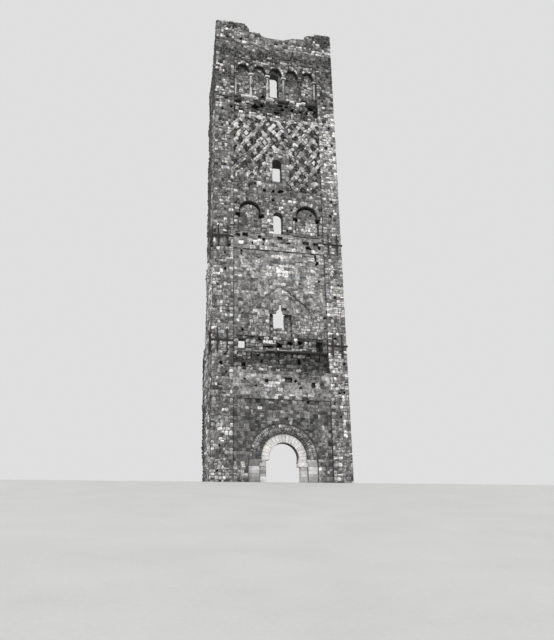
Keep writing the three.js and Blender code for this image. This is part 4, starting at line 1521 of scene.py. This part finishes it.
DOOR_X = AXIS_X + 0.08
DOOR_CENTRE = (DOOR_X, 1.817)
DOOR_OUTSIDE = Circle(DOOR_X, 1.84, 1.63)


@dataclass
class ArchRing(Piece):
    """A ring of wedge-shaped stones."""

    inner: float
    outer: float
    front: float
    bond: Masonry
    count: int
    centre_z: float = 1.72
    centre_x: float = AXIS_X
    sink: float = 0.0
    bed: Bond = Bond.PALE

    def span(self, angle: float) -> Pair:
        """Gives the ring's inner and outer radius at an angle."""
        return self.inner, self.outer

    def stones(self) -> None:
        """Lays the ring's stones round its middle."""
        facing = FORWARD if self.slot == Slot.DRESSED else BACKWARD
        middle = (self.inner + self.outer) / 2
        place = polar(self.centre_x, self.centre_z, FRONT_Y + self.front, middle)
        start, end = -self.sink, math.pi + self.sink
        marks = np.linspace(start, end, self.count + 1)
        marks[1:-1] += self.draw.normal(0.0, 0.1 * (end - start) / self.count, self.count - 1)
        for first, last in zip(marks, marks[1:]):
            angle = (first + last) / 2
            rect = Rect(first * middle, last * middle, *self.span(angle))
            centre = round_spot(self.centre_x, self.centre_z, middle, angle)
            tint = self.tint(centre, facing, self.bond)
            self.lay(rect, place, self.bond, tint)

    def fill(self) -> None:
        """Lays the ring's stones round its packed core."""
        self.stones()
        self.dress_more()
        core = Wall(self.node, self.bed)
        core.join(self)
        core.add_core()


@dataclass
class DoorRing(ArchRing):
    """The doorway's own ring: deeper at its crown, and broken at its left foot."""

    centre_x: float = DOOR_X
    broken_angle: float = -0.1
    broken_radius: float = 1.33

    def span(self, angle: float) -> Pair:
        """Gives the ring's inner and outer radius at an angle."""
        inner = self.broken_radius if angle < self.broken_angle else self.inner
        return inner, DOOR_OUTSIDE.reach(*DOOR_CENTRE, angle) - 0.01


@dataclass
class CarvedRing(ArchRing):
    """The outer ring, with cusps cut in its inner edge and a moulding round it."""

    cusps: int = 19
    cusp_steps: int = 8
    cusp_root: float = 0.05
    cusp_depth: float = 0.15
    cusp_top: float = 1.94
    cusp_proud: Pair = (0.035, 0.065)
    moulding: float = 2.4
    thick: float = 0.03
    boss: Triple = (0.045, 0.05, 0.045)

    def stones(self) -> None:
        """Lays an inner band with scalloped edges and an outer band of small rough stones."""
        steps = self.cusps * self.cusp_steps
        angles = np.linspace(0.0, math.pi, steps + 1)
        scallop = np.abs(np.sin(angles * self.cusps))
        edge = np.array([DOOR_OUTSIDE.reach(AXIS_X, self.centre_z, angle) for angle in angles])
        inner = edge + self.cusp_root + self.cusp_depth * scallop
        place = polar(AXIS_X, self.centre_z, FRONT_Y + self.front, 1.0)
        outer = np.full(steps + 1, self.cusp_top)
        for index in range(self.cusps):
            cells = slice(index * self.cusp_steps, (index + 1) * self.cusp_steps + 1)
            round_part = angles[cells]
            ring = np.concatenate([
                np.column_stack([round_part, inner[cells]]),
                np.column_stack([round_part[::-1], outer[cells]]),
            ])
            count = len(ring)
            high = self.draw.uniform(*self.cusp_proud)
            rows = np.concatenate([
                np.column_stack([ring, np.full(count, STONE_ROOT)]),
                np.column_stack([ring, np.full(count, high)]),
            ])
            faces = hoop_faces(count)
            last = 2 * count - 1
            faces.extend((count + i, count + i + 1, last - 1 - i, last - i) for i in range(count // 2 - 1))
            centre = round_spot(AXIS_X, self.centre_z, 2.0, round_part[self.cusp_steps // 2])
            tint = self.tint(centre, FORWARD, self.bond)
            self.pile.add(place(rows), faces, tint, self.bond.finish)
        rough = replace(self.bond, tone=self.bond.tone * 1.9, contrast=0.3, proud=(0.03, 0.1), corner=0.24,
                        jitter=0.016)
        middle = (self.cusp_top + self.moulding) / 2
        for foot, head in ((self.cusp_top, middle), (middle, self.moulding)):
            band = ArchRing(self.node, foot + 0.01, head, self.front, rough, 46, self.centre_z)
            band.join(self)
            band.stones()

    def dress_more(self) -> None:
        """Adds the round moulding and the small bosses between the cusps."""
        steps, sides = 96, 8
        angles = np.linspace(-0.06, math.pi + 0.06, steps + 1)
        y = FRONT_Y + self.front - 0.02
        rings = []
        for angle in angles:
            turn = np.linspace(0.0, 2 * math.pi, sides, endpoint=False)
            radius = self.moulding + self.thick * np.cos(turn)
            rings.append(np.column_stack([
                AXIS_X - radius * math.cos(angle),
                y - self.thick * 1.3 * np.sin(turn),
                self.centre_z + radius * math.sin(angle),
            ]))
        faces = [(a, d, c, b) for a, b, c, d in hoop_faces(sides, steps)]
        self.pile.add(np.concatenate(rings), faces, self.bond.tone * 1.6 * WARM_GREY)
        boss = BALL_POINTS * np.array(self.boss)
        for index in range(self.cusps):
            angle = (index + 0.5) * math.pi / self.cusps
            radius = DOOR_OUTSIDE.reach(AXIS_X, self.centre_z, angle) + 0.11
            centre = round_spot(AXIS_X, self.centre_z, radius, angle, y + 0.03)
            self.pile.add(boss + centre, BALL_FACES, 0.25 * np.ones(3))


@dataclass
class NetWall(Wall):
    """A wall behind the lattice, with painted shade darkening its stones in the hollows of the net."""

    foot: float = 24.1
    head: float = 29.3
    clear_half: float = 0.96
    clear_top: float = 26.25
    low_foot: float = 22.7
    shade: float = 0.06

    def bond_at(self, centre: np.ndarray, bond: Masonry) -> Masonry:
        """Darkens the stones between the ribs with painted shade.

        Args:
            centre: the stone's middle.
            bond: the face's masonry.

        Returns:
            The masonry, darker with painted shade in a hollow of the net.
        """
        across = centre[0] - AXIS_X
        beside = abs(across) > self.clear_half
        foot = self.low_foot if across > 0 else self.foot
        frontal = centre[1] - FRONT_Y < 0.6
        hollow = frontal and foot < centre[2] < self.head and (beside or centre[2] > self.clear_top)
        return replace(bond, tone=bond.tone * self.shade) if hollow else bond


@dataclass
class NicheWall(Wall):
    """The window storey, with a ring of wedge stones over each blind arch and a hood over the window."""

    offset: float = 2.27
    centre_z: float = 20.64
    ring: Pair = (0.87, 1.19)
    face_y: float = PANEL_DEPTH
    count: int = 15
    hood: tuple[Pair, Pair] = ((-0.32, 0.1), (0.1, 0.46))
    hood_z: Pair = (21.03, 21.21)

    def dress_more(self) -> None:
        """Lays both rings and the hood."""
        bond = replace(Bond.RUBBLE.value, proud=(0.065, 0.085), joint=0.026, jitter=0.01, crown=0.006)
        for side in (-1.0, 1.0):
            middle = AXIS_X + side * self.offset
            ring = ArchRing(self.node, *self.ring, self.face_y, bond, self.count, self.centre_z, middle)
            ring.join(self)
            ring.stones()
        slab = replace(bond, tone=0.4, contrast=0.1, proud=(0.09, 0.1))
        place = frontal(FRONT_Y + self.face_y).place
        for left, right in self.hood:
            centre = np.array([(left + right) / 2, FRONT_Y, sum(self.hood_z) / 2])
            tint = self.tint(centre, FORWARD, slab)
            self.lay(Rect(left, right, *self.hood_z), place, slab, tint)


@dataclass
class Lattice(Piece):
    """The raised net of lozenges on the tall panel, laid in broad pale blocks with gaps where some fell."""

    node: str = "sebka_lattice"
    ending: ClassVar[str] = "stones"
    bays: int = 7
    rise: float = 1.4
    foot: float = 24.15
    top: float = 29.25
    clear_half: float = 0.96
    clear_top: float = 26.25
    half_rib: Pair = (0.13, 0.21)
    block: float = 0.3
    drift: float = 0.025
    lost: float = 0.13
    split: float = 0.5
    low_rows: int = 2
    pilaster_foot: float = 22.15
    inset: float = 0.12
    knot_reach: Pair = (0.12, 0.17)
    knot_limit: float = 3.35
    infill: float = 0.4
    infill_half: Pair = (0.19, 0.26)
    bond: Masonry = Masonry(tone=0.48, contrast=0.64, jitter=0.02, corner=0.2, dark_share=0.14,
                            pale_share=0.12, joint=0.035, proud=(0.06, 0.12), crown=0.008, finish=2)

    def fill(self) -> None:
        """Lays the net's ribs, the stones in its hollows and its frame."""
        low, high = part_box(self.node)
        bay = (high.x - low.x) / self.bays
        rows = round((self.top - self.foot) / (self.rise / 2))
        for row in range(-self.low_rows, rows):
            z0 = self.foot + row * self.rise / 2
            z1 = z0 + self.rise / 2
            for half_bay in range(2 * self.bays):
                x0 = low.x + half_bay * bay / 2
                x1 = x0 + bay / 2
                rising = (half_bay + row) % 2 == 0
                start, end = ((x0, z0), (x1, z1)) if rising else ((x1, z0), (x0, z1))
                middle = (x0 + x1) / 2 - AXIS_X
                if abs(middle) < self.clear_half and z1 < self.clear_top + 0.1 or row < 0 and middle < 0:
                    continue
                self.bar(start, end)
                if self.draw.random() > self.lost and not rising:
                    self.knot(x0, z1)
        for row in range(1 - self.low_rows, rows):
            for half_bay in range(1 + row % 2, 2 * self.bays, 2):
                x, z = low.x + half_bay * bay / 2, self.foot + row * self.rise / 2
                beside = abs(x - AXIS_X) > self.clear_half + 0.3 and (row > 0 or x > AXIS_X)
                if self.draw.random() < self.infill and (beside or z > self.clear_top + 0.4):
                    self.lozenge(x, z)
        self.pilasters(low.x, bay)
        clear = AXIS_X - self.clear_half, AXIS_X + self.clear_half
        self.bar((clear[0], self.clear_top), (clear[1], self.clear_top))
        self.bar((low.x, self.top), (high.x, self.top))

    def bar(self, start: Pair, end: Pair) -> None:
        """Lays a straight rib in uneven blocks, some of them lost.

        Args:
            start: its foot, across and up.
            end: its head, across and up.
        """
        count = max(1, round(math.dist(start, end) / self.block))
        marks = np.linspace(0.0, 1.0, count + 1)
        marks[1:-1] += self.draw.normal(0.0, 0.15 / count, count - 1)
        for first, last in zip(marks, marks[1:]):
            if self.draw.random() > self.lost:
                self.strip(start, end, (float(first), float(last)))

    def strip(self, start: Pair, end: Pair, part: Pair) -> None:
        """Lays one block along a slanted line.

        Args:
            start: the foot of the line, across and up.
            end: the head of the line.
            part: where on the line the block begins and ends, from 0 to 1.
        """
        length = math.dist(start, end)
        along = (np.array(end) - np.array(start)) / length
        across = np.array([-along[1], along[0]])

        def place(rows: np.ndarray) -> np.ndarray:
            """Turns (along, across, out) into points on the panel."""
            flat = np.array(start) + rows[:, :1] * along + rows[:, 1:2] * across
            return np.column_stack([flat[:, 0], FRONT_Y + PANEL_DEPTH - rows[:, 2], flat[:, 1]])

        aside = self.draw.normal(0.0, self.drift)
        marks = [aside - self.draw.uniform(*self.half_rib), aside + self.draw.uniform(*self.half_rib)]
        if self.draw.random() < self.split:
            marks.insert(1, aside)
        middle = np.array(start) + sum(part) / 2 * length * along
        spot = np.array([middle[0], FRONT_Y, middle[1]])
        for low, high in zip(marks, marks[1:]):
            rect = Rect(part[0] * length, part[1] * length, low, high)
            self.lay(rect, place, self.bond, self.tint(spot, FORWARD, self.bond))

    def lozenge(self, x: float, z: float) -> None:
        """Lays the low four-sided stone in one hollow of the net.

        Args:
            x: its place across.
            z: its height above the ground.
        """
        half_width, half_height = (half * self.draw.uniform(0.8, 1.15) for half in self.infill_half)
        corners = np.array([(-half_width, 0.0), (0.0, -half_height), (half_width, 0.0), (0.0, half_height)])
        corners += self.draw.normal(0.0, 0.02, corners.shape)
        proud = self.draw.uniform(0.02, 0.05)
        rings = [(1.05, STONE_ROOT), (1.0, proud * 0.7), (0.85, proud)]
        points = np.concatenate([
            np.insert(scale * corners + np.array([x, z]), 1, FRONT_Y + PANEL_DEPTH - out, axis=1)
            for scale, out in rings
        ])
        faces = [*hoop_faces(4, 2), (8, 9, 10, 11)]
        dim = replace(self.bond, tone=self.bond.tone * 0.75)
        tint = self.tint(np.array([x, FRONT_Y, z]), FORWARD, dim)
        self.pile.add(points, faces, tint, self.bond.finish)

    def knot(self, x: float, z: float) -> None:
        """Adds the broad block where two ribs cross.

        Args:
            x: its place across.
            z: its height above the ground.
        """
        x = min(max(x, AXIS_X - self.knot_limit), AXIS_X + self.knot_limit)
        lean = 1.0 if self.draw.random() < 0.5 else -1.0
        reach = self.draw.uniform(*self.knot_reach)
        self.strip((x - lean * reach, z - reach), (x + lean * reach, z + reach), (0.0, 1.0))

    def pilasters(self, left: float, bay: float) -> None:
        """Lays the upright ribs that the net's left half springs from, and the small arches between them.

        Args:
            left: the net's left end.
            bay: the width of one bay.
        """
        steps = 6
        for index in range(self.bays + 1):
            x = min(max(left + index * bay, left + self.inset), left + self.bays * bay - self.inset)
            if AXIS_X - x > self.clear_half:
                self.bar((x, self.pilaster_foot), (x, self.foot))
        for index in range(self.bays):
            x = left + (index + 0.5) * bay
            if AXIS_X - x > self.clear_half:
                radius = bay / 2 - self.inset
                angles = np.linspace(0.0, math.pi, steps + 1)
                across = x - radius * np.cos(angles)
                up = self.foot - 0.35 + radius * np.sin(angles)
                for step in range(steps):
                    self.bar((across[step], up[step]), (across[step + 1], up[step + 1]))


@dataclass
class Arcade(Piece):
    """The blind arcade: colonnettes, capitals, arches with raised edges, and the wall over them."""

    node: str = "blind_arcade"
    ending: ClassVar[str] = "stones"
    span: float = 1.39
    bays: int = 5
    column_radius: float = 0.088
    column_sides: int = 14
    column_y: float = 0.24
    foot: float = 31.26
    capital_top: float = 33.6
    crown: float = 34.42
    half_width: float = 3.56
    edge_stones: int = 11
    edge_lost: float = 0.4
    columns: tuple[tuple[float, ...], ...] = (
        (0.5, 0.6, 0.62, 0.55, 0.6, 0.25, 0.25),
        (0.55, 0.65, 0.6, 0.55, 0.5, 0.5, 0.75),
        (0.5, 0.62, 0.6, 0.65, 0.62, 0.6, 0.6),
        (0.12, 0.16, 0.16, 0.34, 0.45, 0.4, 0.6),
        (0.12, 0.42, 0.07, 0.06, 0.05, 0.1, 0.1),
        (0.06, 0.1, 0.35, 0.42, 0.45, 0.4, 0.4),
    )
    strings: tuple[tuple[float, ...], ...] = (
        (-1.9, -1.25, 34.62, 34.78, 0.4),
        (-1.22, -0.55, 34.58, 34.74, 0.62),
        (1.25, 1.6, 34.55, 34.75, 0.5),
        (1.8, 2.3, 34.66, 34.8, 0.32),
        (2.5, 2.95, 34.62, 34.82, 0.45),
        (-2.85, -2.1, 34.93, 35.03, 0.36),
        (-0.98, -0.8, 34.92, 35.04, 0.5),
        (0.45, 1.1, 34.92, 35.06, 0.66),
        (1.2, 1.4, 34.94, 35.04, 0.45),
        (1.6, 1.95, 34.94, 35.05, 0.42),
        (-0.72, -0.25, 35.2, 35.4, 0.6),
    )

    def fill(self) -> None:
        """Lays the arcade's stones round its packed core."""
        wall = Wall(self.node, Bond.RAGGED)
        wall.join(self)
        for face in flat_faces(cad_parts[self.node], 0.3):
            wall.holes = Holes()
            wall.dress_face(face)
        reach = self.half_width - self.column_radius * 1.9
        for index, tones in enumerate(self.columns):
            x = AXIS_X + min(max((index - self.bays / 2) * self.span, -reach), reach)
            self.column(x, tones)
        for left, right, low, high, tone in self.strings:
            self.string(Rect(left, right, low, high), tone)
        for index in range(self.bays):
            self.arch_edge(AXIS_X + (index - (self.bays - 1) / 2) * self.span)
        wall.holes = Holes()
        wall.add_core()

    def column(self, x: float, tones: tuple[float, ...]) -> None:
        """Turns one colonnette with its base and capital.

        Args:
            x: its middle.
            tones: the tone of its base, of each drum, and of its capital, from the ground up.
        """
        base = ((1.55, 0.0), (1.6, 0.05), (1.45, 0.1), (1.2, 0.12), (1.3, 0.15), (1.15, 0.19), (1.02, 0.22))
        head = ((1.02, 2.02), (1.18, 2.08), (1.05, 2.1), (1.15, 2.14), (1.5, 2.2), (1.95, 2.24), (2.05, 2.34))
        levels = np.linspace(base[-1][1], head[0][1], len(tones) - 1)
        self.turn(x, base, tones[0])
        for low, high, tone in zip(levels, levels[1:], tones[1:-1]):
            girth = 1.0 + self.draw.normal(0.0, 0.04)
            self.turn(x, ((girth, low), (girth, high - 0.012), (girth * 0.9, high)), tone)
        self.turn(x, head, tones[-1])
        centre = np.array([x, FRONT_Y + self.column_y - 0.02, self.capital_top - 0.06])
        capital = block(0.35) * np.array([2.5, 1.9, 0.8]) * self.column_radius + centre
        self.pile.add(capital, BALL_FACES, 1.1 * tones[-1] * np.ones(3))

    def turn(self, x: float, profile: tuple[Pair, ...], tone: float) -> None:
        """Turns one part of a colonnette from (radius, height) pairs.

        Args:
            x: its place across.
            profile: (radius, height) pairs from the foot up.
            tone: how pale it is.
        """
        sides = self.column_sides
        angles = np.linspace(0.0, 2 * math.pi, sides, endpoint=False)
        worn = 1.0 + self.draw.normal(0.0, 0.03, sides)
        rings = [
            np.column_stack([
                x + self.column_radius * scale * worn * np.cos(angles),
                FRONT_Y + self.column_y + self.column_radius * scale * worn * np.sin(angles),
                np.full(sides, self.foot + height),
            ])
            for scale, height in profile
        ]
        tint = tone * math.exp(self.draw.normal(0.0, 0.1)) * WARM_GREY
        self.pile.add(np.concatenate(rings), hoop_faces(sides, len(profile) - 1), tint)

    def string(self, rect: Rect, tone: float) -> None:
        """Lays one stone that is left of a string course."""
        bond = replace(Bond.PALE.value, proud=(0.1, 0.13), jitter=0.012, corner=0.25)
        self.lay(rect, frontal(FRONT_Y + PANEL_DEPTH).place, bond, tone * WARM_GREY)

    def arch_edge(self, x: float) -> None:
        """Lays the pale stones round one arch's head.

        Args:
            x: its place across.
        """
        half = self.span / 2 - 0.15
        rise = self.crown - self.capital_top
        bond = replace(Bond.PALE.value, tone=0.3, contrast=0.7)
        for index in range(self.edge_stones):
            if self.draw.random() < self.edge_lost:
                continue
            angle = math.pi * (index + 0.5) / self.edge_stones
            centre_x = x - (half + 0.1) * math.cos(angle)
            centre_z = self.capital_top + (rise + 0.12) * math.sin(angle)
            lean = math.atan2(rise * math.cos(angle), half * math.sin(angle))
            wedge = block(0.5) * np.array([0.11, 0.045, 0.09])
            turn = np.array(Matrix.Rotation(-lean, 3, "Y"))
            centre = np.array([centre_x, FRONT_Y + 0.05, centre_z])
            tint = self.tint(centre, BACKWARD, bond)
            self.pile.add(wedge @ turn.T + centre, BALL_FACES, tint)


@dataclass
class WornPiece(Piece):
    """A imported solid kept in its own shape, with its faces roughened and its edges broken."""

    tone: float
    ending: ClassVar[str] = "worn"
    finish: int = 2
    wear: float = 0.03
    bite: float = 0.05
    grain: float = 0.1
    joint_every: float = 0.0
    swell: float = 0.0

    def finishes(self, quarry: Quarry) -> list[bpy.types.Material]:
        """Gives the piece's materials, iron among them."""
        return [*quarry.stones(), quarry.iron]

    def fill(self) -> None:
        """Wears the solid down and dresses it."""
        self.add_body(Vector(self.draw.uniform(0.0, 50.0, 3)))
        self.dress_more()

    def add_body(self, shift: Vector) -> None:
        """Adds the worn solid to the pile.

        Args:
            shift: where in the noise the piece stands.
        """
        mesh = welded(self.node)
        bmesh.ops.triangulate(mesh, faces=mesh.faces)
        sharp = self.split(mesh)
        points = np.empty((len(mesh.verts), 3))
        tints = np.empty((len(mesh.verts), 3))
        for index, vert in enumerate(mesh.verts):
            place = vert.co + shift
            rough = noise.noise(place * 8.0) + 0.5 * noise.noise(place * 21.0)
            chip = max(0.0, noise.noise(place * 2.3) - 0.12) * self.bite * 2.0
            joint = self.joint(vert.co.x)
            depth = self.wear * (0.7 + 0.6 * rough if vert in sharp else 0.25 + 0.25 * rough)
            worn = max(0.0, depth + joint * 0.02 + chip * (vert in sharp))
            points[index] = vert.co - vert.normal * (worn - self.swell)
            tone = self.tone_at(vert.co)
            tone *= (1.0 + 0.35 * noise.noise(place * 1.9) + 0.2 * rough) * (1.0 - 0.6 * joint)
            tints[index] = max(tone, 0.02) * WARM_GREY
        self.pile.add(points, [tuple(v.index for v in f.verts) for f in mesh.faces], tints, self.finish)
        mesh.free()

    def split(self, mesh: bmesh.types.BMesh) -> set[bmesh.types.BMVert]:
        """Divides the mesh finely and gives the vertices on its sharp edges.

        Args:
            mesh: the mesh, which is changed.

        Returns:
            The vertices on the sharp edges.
        """
        while True:
            long_edges = [edge for edge in mesh.edges if edge.calc_length() > self.grain]
            if not long_edges:
                break
            bmesh.ops.subdivide_edges(mesh, edges=long_edges, cuts=1)
            bmesh.ops.triangulate(mesh, faces=mesh.faces)
        mesh.normal_update()
        mesh.verts.index_update()
        return {vert for edge in mesh.edges if edge.calc_face_angle(0.0) > 0.5 for vert in edge.verts}

    def tone_at(self, place: Vector) -> float:
        """Gives the tone of a place on the piece."""
        return self.tone

    def joint(self, x: float) -> float:
        """Gives 1 in a joint between two slabs and 0 away from it.

        Args:
            x: its place across.

        Returns:
            1 or 0.
        """
        if not self.joint_every:
            return 0.0
        away = abs((x / self.joint_every) % 1.0 - 0.5) * self.joint_every
        return 1.0 if away < self.grain * 0.3 else 0.0


@dataclass
class ShadedReliefArch(WornPiece):
    """The relief arch over the balcony door, near black with painted shade on its right limb and paler on its
    left one, which faces the light.
    """

    lit_limb_gain: float = 2.6
    foot: float = 12.7
    clear: float = 0.5

    def tone_at(self, place: Vector) -> float:
        """Gives the tone of a place on the arch."""
        # Painted shade on the right limb above its foot; elsewhere paler by the lit limb's gain.
        return self.tone * (1.0 if place.x > self.clear and place.z > self.foot else self.lit_limb_gain)


@dataclass
class StainedAndShadedSill(WornPiece):
    """A sill or ledge, with painted light where it still catches the light and near black elsewhere, painted
    shade and stain together.
    """

    lit_foot: float = 0.0
    dim_end: float = -10.0
    lit_spans: tuple[Pair, ...] = ((-2.95, -1.5), (-0.8, -0.13), (1.2, 1.64), (1.8, 2.56))
    shade_and_stain: float = 0.05
    dim_gain: float = 5.0

    def tone_at(self, place: Vector) -> float:
        """Gives the tone of a place on the piece."""
        pale = place.z > self.lit_foot and any(low < place.x < high for low, high in self.lit_spans)
        # Painted light on the lit spans above their foot; painted shade and stain elsewhere, less dark left
        # of dim_end.
        return self.tone if pale else self.shade_and_stain * (self.dim_gain if place.x < self.dim_end else 1.0)


@dataclass
class IronTie(WornPiece):
    """A wrought iron strap round a corner, swollen with rust, with rivet heads where its bars cross it."""

    rivet: float = 0.04
    rivet_spots: Pair = (0.38, 1.08)
    lift: float = 0.06

    def add_body(self, shift: Vector) -> None:
        """Adds the strap, brought out in front of the rough stones.

        Args:
            shift: where in the noise the piece stands.
        """
        super().add_body(shift)
        points = self.pile.points[-1]
        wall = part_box("right_wall_foot")[1].x
        points[:, 1] -= self.lift * (points[:, 1] < FRONT_Y)
        points[:, 0] += self.lift * np.sign(points[:, 0]) * (np.abs(points[:, 0]) > wall)

    def dress_more(self) -> None:
        """Adds the rivet heads."""
        low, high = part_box(self.node)
        head = BALL_POINTS * np.array([self.rivet, self.rivet * 0.5, self.rivet])
        for inward in self.rivet_spots:
            x = low.x + inward if low.x < 0 else high.x - inward
            centre = np.array([x, low.y + 0.008 - self.lift, (low.z + high.z) / 2])
            self.pile.add(head + centre, BALL_FACES, self.tone * np.ones(3), self.finish)


@dataclass
class Viewpoint:
    """The camera, at the photograph's place below the tower's foot."""

    place: Triple = (-11.69, -46.85, -5.65)
    yaw: float = 13.725
    pitch: float = 19.87
    roll: float = -1.13
    lens: float = 39.375

    def build(self) -> None:
        """Makes the camera and gives it to the scene."""
        yaw, pitch, roll = (math.radians(a) for a in (self.yaw, self.pitch, self.roll))
        ahead = Vector((math.sin(yaw) * math.cos(pitch), math.cos(yaw) * math.cos(pitch), math.sin(pitch)))
        level = Vector((math.cos(yaw), -math.sin(yaw), 0.0))
        top = level.cross(ahead)
        right = math.cos(roll) * level + math.sin(roll) * top
        above = -math.sin(roll) * level + math.cos(roll) * top
        data = bpy.data.cameras.new("photo_view")
        data.lens = self.lens
        data.clip_end = 500.0
        camera = show("photo_view", data)
        turn = Matrix((right, above, -ahead)).transposed().to_4x4()
        spot = Vector(self.place) + Vector((0.0, FRONT_Y, 0.0))
        camera.matrix_world = Matrix.Translation(spot) @ turn
        bpy.context.scene.camera = camera


@dataclass
class Studio:
    """Soft light from the upper left, a pale sky and a pale floor."""

    sky: float = 0.74
    sun_strength: float = 1.3
    sun_from: Triple = (-0.9, -1.0, 1.05)
    sun_size: float = 24.0
    brink: float = 0.35
    fall: float = 0.19
    soft: float = 1.2
    half_floor: float = 70.0

    def build(self, quarry: Quarry) -> None:
        """Makes the light, the sky and the floor.

        Args:
            quarry: the finishes.
        """
        world = bpy.data.worlds.new("pale_sky")
        world.use_nodes = True
        background = world.node_tree.nodes["Background"]
        background.inputs["Color"].default_value = (self.sky, self.sky, self.sky, 1.0)
        bpy.context.scene.world = world
        bpy.context.scene.view_settings.view_transform = "Standard"
        light = bpy.data.lights.new("soft_sun", "SUN")
        light.energy = self.sun_strength
        light.angle = math.radians(self.sun_size)
        show("soft_sun", light).rotation_euler = Vector(self.sun_from).to_track_quat("Z", "Y").to_euler()
        self.floor(quarry)

    def height(self, y: float) -> float:
        """Gives the floor's height: level at the tower, then falling away in front of it.

        Args:
            y: the place from front to back.

        Returns:
            The height in metres.
        """
        run = FRONT_Y - self.brink - y
        if run <= 0.0:
            return 0.0
        return -self.fall * (run - self.soft * (1.0 - math.exp(-run / self.soft)))

    def floor(self, quarry: Quarry) -> None:
        """Makes the floor as one sheet.

        Args:
            quarry: the finishes.
        """
        half = self.half_floor
        ys = np.concatenate([[-half], np.linspace(-30.0, FRONT_Y - self.brink, 40), [60.0]])
        points = [(x, y, self.height(y)) for y in ys for x in (-half, half)]
        faces = [(2 * i, 2 * i + 1, 2 * i + 3, 2 * i + 2) for i in range(len(ys) - 1)]
        mesh = bpy.data.meshes.new("floor")
        mesh.from_pydata(points, [], faces)
        mesh.materials.append(quarry.floor)
        floor = show("floor", mesh)


def depth_of(node: str) -> float:
    """Gives how deep a node's front lies behind the tower's front."""
    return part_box(node)[0].y - FRONT_Y


def make_parts() -> list[Piece]:
    """Lists every sub-assembly of the tower, from the ground up.

    Returns:
        The sub-assemblies, in order.
    """
    dressed, pale = Slot.DRESSED, Slot.PALE
    voussoir = replace(Bond.PALE.value, tone=0.76, contrast=0.13, joint=0.018, proud=(0.012, 0.03),
                       corner=0.05)
    carved = replace(Bond.DRESSED.value, tone=0.13, contrast=0.45, pale_share=0.0)
    parts: list[Piece] = []
    for side in ("left", "right"):
        parts += [
            Wall(f"portal_wall_{side}", Bond.DRESSED, slot=dressed),
            Wall(f"outer_jamb_{side}", Bond.PALE, slot=pale),
            Wall(f"door_jamb_{side}", Bond.PALE, slot=pale),
            # The right impost is paler with painted light, where it catches the light; the left one keeps the
            # plainer tone.
            WornPiece(f"door_impost_{side}", 0.55 if side == "left" else 0.72),
        ]
    parts += [
        DoorRing("door_arch", 1.047, 1.63, depth_of("door_arch"), voussoir, 21, DOOR_CENTRE[1], sink=0.3),
        CarvedRing("outer_arch", 1.66, 2.44, depth_of("outer_arch"), carved, 33, slot=dressed,
                   bed=Bond.DRESSED),
        Wall("portal_spandrel", Bond.DRESSED, slot=dressed),
        Wall("wall_above_portal", Bond.WASHED),
        RaggedBand("corbel_zone", Bond.RAGGED, cover=0.4, reach=(0.04, 0.18)),
        StainedAndShadedSill("balcony_ledge", 0.5, wear=0.045, bite=0.3, joint_every=0.83, lit_foot=9.37,
                    dim_end=-1.1, lit_spans=((-1.05, 0.85),)),
        Wall("small_window_wall", Bond.RAGGED),
        Wall("balcony_wall_left"),
        Wall("balcony_wall_right", edged=0.1, lit=True),
        Wall("balcony_door_surround", edged=0.3),
        Wall("balcony_wall_over", Bond.WASHED, uneven=0.06),
        ShadedReliefArch("lobed_arch", 0.06, slot=dressed, finish=1, bite=0.04),
        Wall("string_band", Bond.WASHED, uneven=0.25),
        NicheWall("window_wall"),
        Wall("niche_panel_left", slot=pale, edged=0.2),
        Wall("niche_panel_right", slot=pale, edged=0.2),
        NetWall("sebka_wall_left"),
        NetWall("sebka_wall_right"),
        NetWall("sebka_window_wall"),
        Lattice(),
        RaggedBand("cavity_band", Bond.RAGGED, cover=0.7, reach=(0.05, 0.24)),
        StainedAndShadedSill("arcade_sill", 0.75, bite=0.08),
        Wall("arcade_wall", uneven=0.2),
        Arcade(),
        BrokenTop("crown_wall", uneven=0.25),
    ]
    for side in ("left", "right"):
        storeys = [f"{side}_wall_{storey}" for storey in ("foot", "balcony", "sebka")]
        parts += [BrokenSideWall(storey, uneven=0.12) for storey in storeys]
        parts.append(TornTopStorey(f"{side}_wall_crown", uneven=0.35))
    for level in ("lower", "upper"):
        for side in ("left", "right"):
            name = f"iron_tie_{level}_{side}"
            parts.append(IronTie(name, 0.028, slot=Slot.IRON, finish=4, wear=0.005, bite=0.0, swell=0.01))
    return parts


def main() -> None:
    """Builds the camera, the studio and every piece in order."""
    logging.basicConfig(level=logging.INFO, format="%(message)s")
    Viewpoint().build()
    quarry = Quarry()
    Studio().build(quarry)
    total = 0
    for part in make_parts():
        piece = part.build(quarry)
        triangles = sum(len(p.vertices) - 2 for p in piece.data.polygons)
        total += triangles
        LOG.info("%s: %d triangles", piece.name, triangles)
    LOG.info("all pieces: %d triangles", total)


if __name__ == "__main__":
    main()
